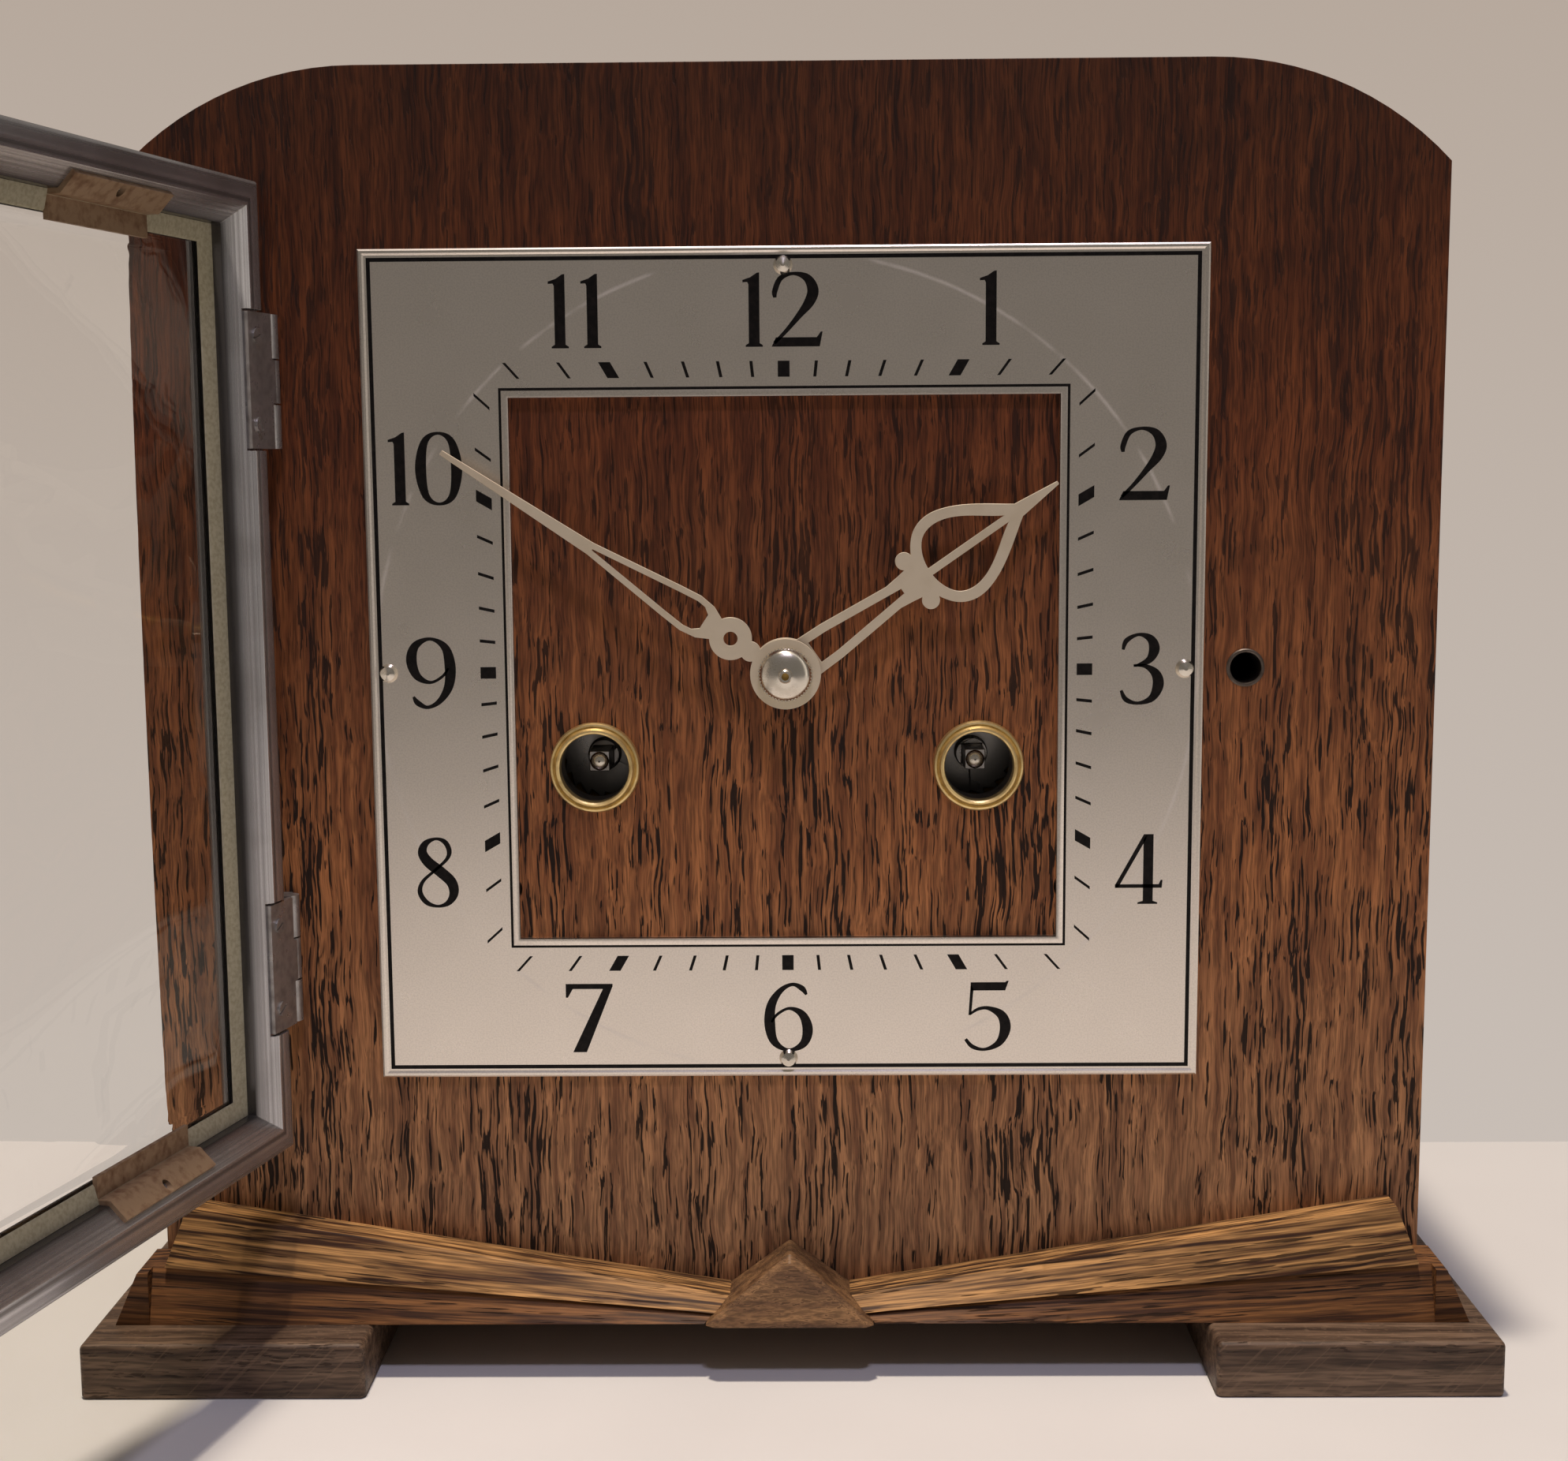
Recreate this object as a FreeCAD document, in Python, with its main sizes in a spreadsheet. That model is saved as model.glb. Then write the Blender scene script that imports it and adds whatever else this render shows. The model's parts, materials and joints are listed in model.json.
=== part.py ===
import FreeCAD, Part
import math
import operator
import os
from types import SimpleNamespace

import Sketcher

# Driving dimensions: millimetres, and degrees where the name says angle
SIZES = {
    # case
    "case_width": 234.0,
    "case_height": 225.0,
    "case_depth": 112.0,
    "front_thick": 9.0,
    "side_thick": 8.0,
    "top_thick": 6.0,
    "base_thick": 8.0,
    "back_thick": 5.0,
    "top_flat": 150.0,
    "shoulder_radius": 58.0,
    "dial_rise": 118.3,
    # feet and front mouldings
    "foot_width": 51.2,
    "foot_height": 10.2,
    "foot_length": 138.0,
    "foot_stride": 203.2,
    "foot_overhang": 21.0,
    "foot_edge": 1.2,
    "strip_base_depth": 12.2,
    "strip_top_depth": 5.2,
    "strip_step": 1.2,
    "upper_strip_tip": 111.2,
    "upper_strip_tip_rise": 19.7,
    "upper_strip_end": 114.6,
    "upper_strip_end_rise": 10.0,
    "upper_strip_root_top": 3.4,
    "upper_strip_root_low": 1.4,
    "lower_strip_end": 123.3,
    "lower_strip_shoulder": 119.0,
    "lower_strip_rise": 9.8,
    "keystone_base": 31.2,
    "keystone_height": 11.6,
    "keystone_thick": 14.4,
    "keystone_crown": 8.5,
    "keystone_bevel": 1.0,
    # dial, grommets and catch
    "dial_size": 150.0,
    "dial_opening": 98.0,
    "dial_thick": 1.2,
    "dial_pin_reach": 71.7,
    "dial_pin_head": 1.7,
    "dial_pin_shank": 0.6,
    "wind_span": 69.7,
    "wind_drop": 17.5,
    "grommet_flange": 8.25,
    "grommet_bore": 6.2,
    "grommet_wall": 0.9,
    "grommet_proud": 1.8,
    "grommet_depth": 6.0,
    "catch_reach": 82.8,
    "eyelet_flange": 3.45,
    "eyelet_bore": 2.7,
    "eyelet_depth": 7.0,
    # hands
    "minute_angle": 303.2,
    "hour_angle": 55.3,
    "minute_length": 72.0,
    "hour_length": 58.7,
    "hand_thick": 0.7,
    "hour_hand_gap": 4.2,
    "minute_hand_gap": 6.2,
    "hand_boss": 6.3,
    "hand_nut_radius": 4.8,
    "hand_nut_height": 5.0,
    # bezel door
    "door_open_angle": 104.0,
    "hinge_reach": 90.9,
    "hinge_standoff": 2.4,
    "hinge_rise": 52.0,
    "hinge_length": 23.4,
    "knuckle_radius": 1.7,
    "hinge_pin_radius": 0.8,
    "leaf_thick": 1.0,
    "leaf_width": 8.0,
    "bezel_size": 172.0,
    "bezel_rail": 11.0,
    "bezel_depth": 10.0,
    "bezel_round": 4.0,
    "bezel_bevel": 1.5,
    "bezel_web": 3.3,
    "bezel_roll": 1.2,
    "glass_seat": 6.0,
    "glass_thick": 2.0,
    "glass_lap": 3.0,
    "glass_rise": 12.0,
    "clip_spread": 45.0,
    "clip_length": 27.0,
    "clip_reach": 4.5,
    "clip_run": 2.6,
    "clip_hole": 0.85,
    "clip_thick": 0.8,
    "catch_stud_radius": 2.0,
    "catch_stud_length": 6.0,
    # back door
    "back_door_width": 150.0,
    "back_door_height": 160.0,
    "back_door_rise": 26.0,
    "back_hinge_spread": 45.0,
    "back_hinge_length": 22.0,
    "turn_button_length": 26.0,
    "turn_button_width": 8.0,
    "turn_button_thick": 3.0,
    "turn_button_offset": 8.0,
    "turn_button_shank": 1.5,
    "back_knuckle_radius": 1.6,
    "back_leaf_thick": 0.8,
    "back_leaf_width": 9.0,
    # movement frame
    "plate_width": 116.0,
    "plate_top": 62.0,
    "plate_bottom": 46.0,
    "plate_thick": 2.0,
    "plate_gap": 36.0,
    "post_length": 13.0,
    "post_radius": 4.0,
    "post_inset": 6.0,
    "pillar_radius": 3.5,
    "pillar_inset": 16.0,
    "arbor_radius": 1.25,
    "pivot_radius": 0.6,
    "barrel_arbor_radius": 3.0,
    "barrel_radius": 18.6,
    "barrel_front": 5.0,
    "barrel_length": 20.0,
    "wind_square": 3.75,
    "wind_recess": 8.0,
    "wind_square_length": 8.0,
    "ratchet_radius": 9.0,
    "stud_radius": 1.0,
    "post_screw": 1.65,
    "post_head_depth": 2.4,
    "gather_extension": 0.8,
    "crutch_arbor_radius": 1.0,
    "centre_reach": 10.5,
    "snail_radius": 12.0,
    "snail_step": 0.75,
    "click_out": 7.2,
    "click_up": 12.6,
    "ratchet_level": 3.0,
    "ratchet_thick": 1.8,
    "ratchet_depth": 1.4,
    "lever_thick": 1.2,
    "lever_half": 1.2,
    "lever_boss": 3.0,
    "rack_x": -7.8,
    "rack_z": -26.2,
    "rack_level": 3.5,
    "rack_tip": 49.1,
    "rack_inside": 44.5,
    "rack_tail_level": 11.0,
    "rack_tail_x": 9.19,
    "rack_tail_z": -9.19,
    "hook_x": -44.0,
    "hook_z": 30.0,
    "hook_beak_x": -27.06,
    "hook_beak_z": 20.64,
    "hook_tail_length": 13.25,
    "hook_tail_half": 2.2,
    "lever_x": -8.0,
    "lever_z": 34.0,
    "lever_level": 5.4,
    "lever_foot_x": -2.1,
    "lever_foot_z": 7.25,
    "lever_pin_x": -33.0,
    "lever_pin_z": 21.2,
    # gear trains
    "great_module": 0.75,
    "second_module": 0.78,
    "centre_module": 0.5,
    "third_module": 0.42,
    "motion_module": 0.6,
    "strike_module": 0.6,
    "gather_module": 0.5,
    "warning_module": 0.45,
    "wheel_thick": 1.6,
    "pinion_length": 4.0,
    "pinion_lead": 1.0,
    "second_level": 31.0,
    "centre_level": 2.0,
    "third_level": 8.0,
    "escape_level": 14.0,
    "gather_level": 18.0,
    "warning_level": 10.0,
    "fly_level": 16.0,
    "fly_length": 17.0,
    "fly_half": 7.0,
    "cannon_level": 4.5,
    "cannon_gap": 1.0,
    "minute_wheel_level": 3.4,
    "hour_wheel_level": 7.4,
    "snail_level": 9.4,
    "third_angle": 60.0,
    "minute_wheel_angle": 20.0,
    "strike_angle": 112.0,
    "gather_angle": 60.0,
    "warning_angle": 65.0,
    "fly_angle": 35.0,
    "escape_radius": 11.5,
    "anchor_rise": 17.0,
    # pendulum, hammers and gong
    "pendulum_length": 116.0,
    "pendulum_gap": 6.0,
    "pendulum_tail": 22.0,
    "spring_rise": 7.0,
    "spring_drop": 9.0,
    "rating_nut_drop": 19.5,
    "rating_nut_radius": 3.2,
    "rating_nut_height": 3.0,
    "pendulum_rod": 0.9,
    "bob_radius": 16.0,
    "bob_thick": 7.0,
    "crutch_length": 30.0,
    "hammer_x": 46.0,
    "hammer_drop": 36.0,
    "hammer_arm": 42.0,
    "hammer_head": 4.0,
    "hammer_head_drop": 12.0,
    "hammer_face": 6.0,
    "hammer_head_length": 11.0,
    "hammer_tail": 32.2,
    "hammer_thick": 4.0,
    "hammer_setback": 16.0,
    "hammer_pitch": 9.0,
    "hammer_stud_radius": 2.0,
    "gong_rod_radius": 1.6,
    "gong_rod_length": 92.0,
    "gong_gap": 0.5,
    # fits
    "running_clearance": 0.05,
    "free_clearance": 0.4,
}

GREAT_TEETH = 54
SECOND_LEAVES = 9
SECOND_TEETH = 42
CENTRE_LEAVES = 7
CENTRE_TEETH = 66
THIRD_LEAVES = 6
THIRD_TEETH = 72
ESCAPE_LEAVES = 6
ESCAPE_TEETH = 40
CANNON_LEAVES = 10
MINUTE_TEETH = 30
MINUTE_LEAVES = 8
HOUR_TEETH = 32
GATHER_LEAVES = 7
GATHER_TEETH = 42
WARNING_LEAVES = 6
WARNING_TEETH = 36
FLY_LEAVES = 6
RATCHET_TEETH = 18
HAMMER_STAR_POINTS = 8
HOURS = 12

Vector = FreeCAD.Vector
ALONG_Y = FreeCAD.Rotation(Vector(1, 0, 0), -90)
UPRIGHT = FreeCAD.Rotation()

doc = FreeCAD.newDocument("mantel_clock")
sheet = doc.addObject("Spreadsheet::Sheet", "sizes")
for row, (name, number) in enumerate(SIZES.items(), start=1):
    sheet.set(f"A{row}", name)
    sheet.set(f"B{row}", str(number))
    sheet.setAlias(f"B{row}", name)
doc.recompute()


class Size:
    """A dimension: its number, and the expression on the sheet that gives it."""

    def __init__(self, number, text):
        self.number = float(number)
        self.text = text

    def __float__(self):
        return self.number

    def __neg__(self):
        return combine(0, "-", self)

    def __add__(self, other):
        return combine(self, "+", other)

    def __radd__(self, other):
        return combine(other, "+", self)

    def __sub__(self, other):
        return combine(self, "-", other)

    def __rsub__(self, other):
        return combine(other, "-", self)

    def __mul__(self, other):
        return combine(self, "*", other)

    def __rmul__(self, other):
        return combine(other, "*", self)

    def __truediv__(self, other):
        return combine(self, "/", other)


OPERATIONS = {"+": operator.add, "-": operator.sub, "*": operator.mul, "/": operator.truediv}


def as_size(value):
    return value if isinstance(value, Size) else Size(value, f"({float(value)!r})")


def combine(first, sign, second):
    first, second = as_size(first), as_size(second)
    number = OPERATIONS[sign](first.number, second.number)
    return Size(number, f"({first.text} {sign} {second.text})")


def root(value):
    return Size(math.sqrt(value.number), f"sqrt({value.text})")


def sine(angle):
    return Size(math.sin(math.radians(angle.number)), f"sin({angle.text})")


def cosine(angle):
    return Size(math.cos(math.radians(angle.number)), f"cos({angle.text})")


s = SimpleNamespace(**{name: Size(sheet.get(name), f"sizes.{name}") for name in SIZES})

# The frame: X to the right, Y to the back, Z up, origin on the floor midway between the feet
derived = doc.addObject("App::VarSet", "derived")


def derive(name, value):
    """Keep a worked-out value as a property of its own, so other expressions stay short."""
    derived.addProperty("App::PropertyFloat", name)
    derived.setExpression(name, value.text)
    return Size(value.number, f"derived.{name}")


face_y = derive("face_y", s.foot_overhang - s.foot_length / 2)
back_y = derive("back_y", face_y + s.case_depth)
dial_z = derive("dial_z", s.foot_height + s.dial_rise)
board_back = derive("board_back", face_y + s.front_thick)
half_width = derive("half_width", s.case_width / 2)
flat_half = derive("flat_half", s.top_flat / 2)
shoulder_reach = half_width - flat_half
shoulder_drop = root(s.shoulder_radius * s.shoulder_radius - shoulder_reach * shoulder_reach)
shoulder_centre = derive("shoulder_centre", s.case_height - s.shoulder_radius)
shoulder_z = derive("shoulder_z", shoulder_centre + shoulder_drop)

plate_front = derive("plate_front", board_back + s.post_length)
plates_in = derive("plates_in", plate_front + s.plate_thick)
plates_out = derive("plates_out", plates_in + s.plate_gap)
plate_back = derive("plate_back", plates_out + s.plate_thick)

PIECES = []


def piece(obj, label):
    """Name a finished sub-part. Its label is also its file's name."""
    obj.Label = label
    PIECES.append(obj)
    return obj


def bind(obj, **values):
    for prop, value in values.items():
        obj.setExpression(prop, as_size(value).text)


def put(obj, x=0, y=0, z=0):
    for axis, value in zip("xyz", (x, y, z)):
        obj.setExpression(f"Placement.Base.{axis}", as_size(value).text)
    return obj


def turn(obj, axis, angle):
    obj.Placement = FreeCAD.Placement(Vector(), FreeCAD.Rotation(axis, 1))
    obj.setExpression("Placement.Rotation.Angle", angle.text)


# Part primitives bound to the sheet


def box(name, length, width, height, x, y, z):
    obj = doc.addObject("Part::Box", name)
    bind(obj, Length=length, Width=width, Height=height)
    return put(obj, x, y, z)


def rod(name, radius, length, x, y, z, turned=ALONG_Y):
    obj = doc.addObject("Part::Cylinder", name)
    obj.Placement = FreeCAD.Placement(Vector(), turned)
    bind(obj, Radius=radius, Height=length)
    return put(obj, x, y, z)


def cut(name, base, tool):
    obj = doc.addObject("Part::Cut", name)
    obj.Base = base
    obj.Tool = tool
    return obj


def fuse(name, *shapes):
    obj = doc.addObject("Part::MultiFuse", name)
    obj.Shapes = list(shapes)
    return obj


def group(name, shapes):
    obj = doc.addObject("Part::Compound", name)
    obj.Links = list(shapes)
    return obj


# Bodies drawn from sketches


def new_body(label):
    return doc.addObject("PartDesign::Body", label)


def new_sketch(body, name, plane="XZ_Plane", offset=0):
    """A sketch on one of the body's own planes. On XZ its normal points to the front, along -Y."""
    support = next(p for p in body.Origin.OriginFeatures if p.Role == plane)
    sketch = body.newObject("Sketcher::SketchObject", f"{body.Name}_{name}")
    sketch.AttachmentSupport = [(support, "")]
    sketch.MapMode = "FlatFace"
    sketch.setExpression("AttachmentOffset.Base.z", as_size(offset).text)
    return sketch


def fix(sketch, kind, element, point, value):
    index = sketch.addConstraint(Sketcher.Constraint(kind, -1, 1, element, point, float(value)))
    sketch.setExpression(f"Constraints[{index}]", as_size(value).text)


def arc_between(start, end, radius):
    """The short arc from start to end that bulges to the right of the way there."""
    chord = end - start
    half = chord.Length / 2
    sagitta = radius - math.sqrt(radius * radius - half * half)
    across = Vector(chord.y, -chord.x, 0).normalize()
    middle = start + chord * 0.5 + across * sagitta
    return Part.Arc(start, middle, end)


def outline(sketch, corners, arcs=None, hollows=None):
    """A closed chain through the corners. The edge after a corner may be an arc, or a hollow one."""
    bends = {**(arcs or {}), **(hollows or {})}
    first = sketch.GeometryCount
    count = len(corners)
    points = [Vector(float(x), float(z), 0) for x, z in corners]
    for i in range(count):
        start, end = points[i], points[(i + 1) % count]
        if i not in bends:
            sketch.addGeometry(Part.LineSegment(start, end))
        elif i in (arcs or {}):
            sketch.addGeometry(arc_between(start, end, float(bends[i])))
        else:
            sketch.addGeometry(arc_between(end, start, float(bends[i])))
    ends = [edge_ends(sketch, first + i, points[i]) for i in range(count)]
    for i in range(count):
        following = (i + 1) % count
        joint = ("Coincident", first + i, ends[i][1], first + following, ends[following][0])
        sketch.addConstraint(Sketcher.Constraint(*joint))
    for i, (x, z) in enumerate(corners):
        fix(sketch, "DistanceX", first + i, ends[i][0], x)
        fix(sketch, "DistanceY", first + i, ends[i][0], z)
    for i, radius in bends.items():
        index = sketch.addConstraint(Sketcher.Constraint("Radius", first + i, float(radius)))
        sketch.setExpression(f"Constraints[{index}]", as_size(radius).text)


def edge_ends(sketch, element, start):
    """Which of an edge's two end points lies at start, and which is the other one."""
    at_start = sketch.getPoint(element, 1).distanceToPoint(start) < 1e-6
    return (1, 2) if at_start else (2, 1)


def rectangle(sketch, left, right, low, high):
    outline(sketch, [(left, low), (right, low), (right, high), (left, high)])


def circle(sketch, x, z, radius):
    element = sketch.addGeometry(Part.Circle(Vector(float(x), float(z), 0), Vector(0, 0, 1), float(radius)))
    fix(sketch, "DistanceX", element, 3, x)
    fix(sketch, "DistanceY", element, 3, z)
    index = sketch.addConstraint(Sketcher.Constraint("Radius", element, float(radius)))
    sketch.setExpression(f"Constraints[{index}]", as_size(radius).text)


def pad(body, sketch, length, backwards=False):
    feature = body.newObject("PartDesign::Pad", f"{sketch.Name}_pad")
    feature.Profile = sketch
    feature.Reversed = backwards
    bind(feature, Length=length)
    return feature


def pocket(body, sketch, length, forwards=False):
    feature = body.newObject("PartDesign::Pocket", f"{sketch.Name}_pocket")
    feature.Profile = sketch
    feature.Reversed = forwards
    bind(feature, Length=length)
    return feature


def dress(body, kind, size, wanted):
    """A fillet or chamfer on the edges whose middle point passes the test."""
    doc.recompute()
    base = body.Tip
    names = []
    for number, edge in enumerate(base.Shape.Edges, start=1):
        if wanted(edge.CenterOfMass):
            names.append(f"Edge{number}")
    feature = body.newObject(f"PartDesign::{kind}", f"{body.Name}_{kind.lower()}")
    feature.Base = (base, names)
    bind(feature, **{"Radius" if kind == "Fillet" else "Size": size})
    return feature


def turned(label, profile):
    """A body turned about its own Y axis from a profile of radius and depth."""
    body = new_body(label)
    sketch = new_sketch(body, "profile", "XY_Plane")
    outline(sketch, profile)
    feature = body.newObject("PartDesign::Revolution", f"{label}_turn")
    feature.Profile = sketch
    feature.ReferenceAxis = (sketch, ["V_Axis"])
    feature.Angle = 360
    return body


# Solids made with Part's own functions, for teeth, pierced hands and links


def cylinder(radius, start, end, x=0, z=0):
    """A round bar along Y."""
    length = float(end) - float(start)
    return Part.makeCylinder(float(radius), length, Vector(float(x), float(start), float(z)), Vector(0, 1, 0))


def block(x, y, z):
    """A box from three pairs of limits."""
    low = Vector(float(x[0]), float(y[0]), float(z[0]))
    spans = [float(high) - float(below) for below, high in (x, y, z)]
    return Part.makeBox(*spans, low)


def sheet_metal(points, start, end):
    """A flat piece: a closed outline in X and Z, cut from plate between two depths."""
    corners = [Vector(float(x), float(start), float(z)) for x, z in points]
    face = Part.Face(Part.makePolygon(corners + corners[:1]))
    return face.extrude(Vector(0, float(end) - float(start), 0))


def link(first, second, radius, start, end):
    """A flat bar with round ends between two points."""
    (x0, z0), (x1, z1) = [(float(x), float(z)) for x, z in (first, second)]
    length = math.hypot(x1 - x0, z1 - z0)
    across = (radius * (z0 - z1) / length, radius * (x1 - x0) / length)
    corners = [
        (x0 + across[0], z0 + across[1]),
        (x1 + across[0], z1 + across[1]),
        (x1 - across[0], z1 - across[1]),
        (x0 - across[0], z0 - across[1]),
    ]
    bar = sheet_metal(corners, start, end)
    return bar.fuse([cylinder(radius, start, end, x0, z0), cylinder(radius, start, end, x1, z1)])


def toothed(radii, teeth, start, end, phase, shape):
    """A toothed disc about Y. shape gives each corner of a tooth: share of pitch, and which radius."""
    pitch = 2 * math.pi / teeth
    points = []
    for tooth in range(teeth):
        for share, radius in shape:
            angle = phase + (tooth + share) * pitch
            points.append((radii[radius] * math.cos(angle), radii[radius] * math.sin(angle)))
    return sheet_metal(points, start, end)


POINTED = ((-0.5, "root"), (0.0, "tip"))
LEAF = ((-0.2, "root"), (-0.11, "tip"), (0.11, "tip"), (0.2, "root"))
SLOPED = ((-0.45, "root"), (0.4, "tip"), (0.45, "root"))


def wheel_radii(teeth, module):
    pitch_radius = teeth * float(module) / 2
    return {"tip": pitch_radius + 0.9 * float(module), "root": pitch_radius - 1.7 * float(module)}


def wheel(teeth, module, start, phase=0.0, spokes=4):
    """A wheel with pointed teeth and crossings cut out between its spokes."""
    radii = wheel_radii(teeth, module)
    end = float(start) + float(s.wheel_thick)
    disc = toothed(radii, teeth, start, end, phase, POINTED)
    rim, hub, half_spoke = radii["root"] - 1.6, 4.0, 1.0
    if rim < hub + 2.5:
        return disc
    windows = []
    for spoke in range(spokes):
        middle = (spoke + 0.5) * 2 * math.pi / spokes
        windows.append(window(middle, math.pi / spokes, hub, rim, half_spoke, start, end))
    return disc.cut(windows)


def window(middle, half_angle, hub, rim, half_spoke, start, end):
    """The space between two spokes, with straight edges."""
    points = []
    for radius, sides in ((hub, (-1, 1)), (rim, (1, 0, -1))):
        reach = half_angle - math.asin(half_spoke / radius)
        for side in sides:
            angle = middle + side * reach
            points.append((radius * math.cos(angle), radius * math.sin(angle)))
    return sheet_metal(points, start, end)


def pinion(leaves, module, start, end, phase=0.0):
    pitch_radius = leaves * float(module) / 2
    radii = {"tip": pitch_radius + 0.6 * float(module), "root": pitch_radius - 1.35 * float(module)}
    return toothed(radii, leaves, start, end, phase, LEAF)


def meshing_phase(place, other, teeth, other_teeth, other_phase):
    """The angle of a tooth at place that lets its gear mesh with the other gear's teeth."""
    direction = math.atan2(float(other[1]) - float(place[1]), float(other[0]) - float(place[0]))
    seen = (direction + math.pi - other_phase) * other_teeth / (2 * math.pi)
    return direction - (0.5 - seen) * 2 * math.pi / teeth


def arbor(radius, front_end=None, front_radius=None, back_end=None, back_radius=None):
    """A shaft between the plates, with a pivot or an extension through each plate."""
    shake = 0.3
    start, end = float(plates_in) + shake, float(plates_out) - shake
    pivot = s.pivot_radius
    front = cylinder(front_radius or pivot, plate_front if front_end is None else front_end, start)
    back = cylinder(back_radius or pivot, end, plate_back if back_end is None else back_end)
    return cylinder(radius, start, end).fuse([front, back])


def feature(label, shape, place):
    """A sub-part whose shape is made above, set at its place behind the dial."""
    obj = doc.addObject("Part::Feature", label)
    obj.Shape = shape.removeSplitter()
    put(obj, place[0], 0, dial_z + place[1])
    return piece(obj, label)


# Places of the arbors, measured from the centre of the dial


def mesh_distance(teeth, leaves, module):
    return module * ((teeth + leaves) / 2)


def step(origin, distance, angle):
    return (origin[0] + distance * cosine(angle), origin[1] + distance * sine(angle))


CENTRE = (as_size(0), as_size(0))
GOING_BARREL = (s.wind_span / 2, -s.wind_drop)
STRIKE_BARREL = (-s.wind_span / 2, -s.wind_drop)


def second_place():
    """The going second wheel stands where its two centre distances meet, below the line of centres."""
    to_centre = mesh_distance(SECOND_TEETH, CENTRE_LEAVES, s.second_module)
    to_barrel = mesh_distance(GREAT_TEETH, SECOND_LEAVES, s.great_module)
    span = root(GOING_BARREL[0] * GOING_BARREL[0] + GOING_BARREL[1] * GOING_BARREL[1])
    along = (to_centre * to_centre - to_barrel * to_barrel + span * span) / (2 * span)
    aside = root(to_centre * to_centre - along * along)
    unit = (GOING_BARREL[0] / span, GOING_BARREL[1] / span)
    x = unit[0] * along + unit[1] * aside
    z = unit[1] * along - unit[0] * aside
    return (derive("second_x", x), derive("second_z", z))


SECOND = second_place()
THIRD = step(CENTRE, mesh_distance(CENTRE_TEETH, THIRD_LEAVES, s.centre_module), s.third_angle)
third_to_escape = mesh_distance(THIRD_TEETH, ESCAPE_LEAVES, s.third_module)
escape_rise = THIRD[1] + root(third_to_escape * third_to_escape - THIRD[0] * THIRD[0])
ESCAPE = (as_size(0), derive("escape_rise", escape_rise))
ANCHOR = (as_size(0), ESCAPE[1] + s.anchor_rise)
MINUTE = step(CENTRE, mesh_distance(MINUTE_TEETH, CANNON_LEAVES, s.motion_module), s.minute_wheel_angle)
PIN = step(STRIKE_BARREL, mesh_distance(GREAT_TEETH, SECOND_LEAVES, s.great_module), s.strike_angle)
GATHER = step(PIN, mesh_distance(SECOND_TEETH, GATHER_LEAVES, s.strike_module), s.gather_angle)
WARNING = step(GATHER, mesh_distance(GATHER_TEETH, WARNING_LEAVES, s.gather_module), s.warning_angle)
FLY = step(WARNING, mesh_distance(WARNING_TEETH, FLY_LEAVES, s.warning_module), s.fly_angle)
HAMMER = (-s.hammer_x, -s.hammer_drop)

post_x = s.plate_width / 2 - s.post_inset
post_levels = (s.plate_top - s.post_inset, s.post_inset - s.plate_bottom)
POSTS = [(side * post_x, level) for side in (-1, 1) for level in post_levels]
pillar_x = s.plate_width / 2 - s.post_inset
PILLARS = [
    (-pillar_x, s.plate_top - s.pillar_inset),
    (pillar_x, s.plate_top - s.pillar_inset),
    (-pillar_x, s.pillar_inset - s.plate_bottom - 12),
    (pillar_x, s.pillar_inset - s.plate_bottom - 12),
]


# Case


def case_corners():
    """The arched front outline: upright sides, round shoulders and a flat top."""
    corners = [
        (-half_width, 0),
        (half_width, 0),
        (half_width, shoulder_z),
        (flat_half, s.case_height),
        (-flat_half, s.case_height),
        (-half_width, shoulder_z),
    ]
    return corners, {2: s.shoulder_radius, 4: s.shoulder_radius}


def above_base(z):
    """A height given from the dial's centre, as a height above the case's bottom edge."""
    return z + s.dial_rise


def make_front():
    body = new_body("case_front")
    sketch = new_sketch(body, "outline")
    outline(sketch, *case_corners())
    pad(body, sketch, s.front_thick, backwards=True)
    holes = new_sketch(body, "holes")
    circle(holes, 0, above_base(as_size(0)), 4.0)
    for x, z in (GOING_BARREL, STRIKE_BARREL):
        circle(holes, x, above_base(z), s.grommet_bore + s.grommet_wall + s.running_clearance)
    circle(holes, s.catch_reach, above_base(as_size(0)), s.eyelet_bore + 0.5 + s.running_clearance)
    for x, z in dial_pin_places():
        circle(holes, x, above_base(z), s.dial_pin_shank + s.running_clearance)
    for x, z in POSTS:
        circle(holes, x, above_base(z), s.post_screw + s.running_clearance)
    pocket(body, holes, s.front_thick)
    heads = new_sketch(body, "heads")
    for x, z in POSTS:
        circle(heads, x, above_base(z), 2 * s.post_screw)
    pocket(body, heads, s.post_head_depth)
    put(body, 0, face_y, s.foot_height)
    piece(body, "case_front")


def dial_pin_places():
    reach = s.dial_pin_reach
    return [(as_size(0), reach), (reach, as_size(0)), (as_size(0), -reach), (-reach, as_size(0))]


def make_back_panel():
    body = new_body("back_panel")
    sketch = new_sketch(body, "outline")
    outline(sketch, *case_corners())
    pad(body, sketch, s.back_thick)
    opening = new_sketch(body, "opening")
    half = s.back_door_width / 2
    rectangle(opening, -half, half, s.back_door_rise, s.back_door_rise + s.back_door_height)
    pocket(body, opening, s.back_thick, forwards=True)
    put(body, 0, back_y, s.foot_height)
    piece(body, "back_panel")


shell_depth = s.case_depth - s.front_thick - s.back_thick
inner_scale = (s.shoulder_radius - s.top_thick) / s.shoulder_radius
top_inner_x = derive("top_inner_x", flat_half + shoulder_reach * inner_scale)
top_inner_z = derive("top_inner_z", shoulder_centre + shoulder_drop * inner_scale)


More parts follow.
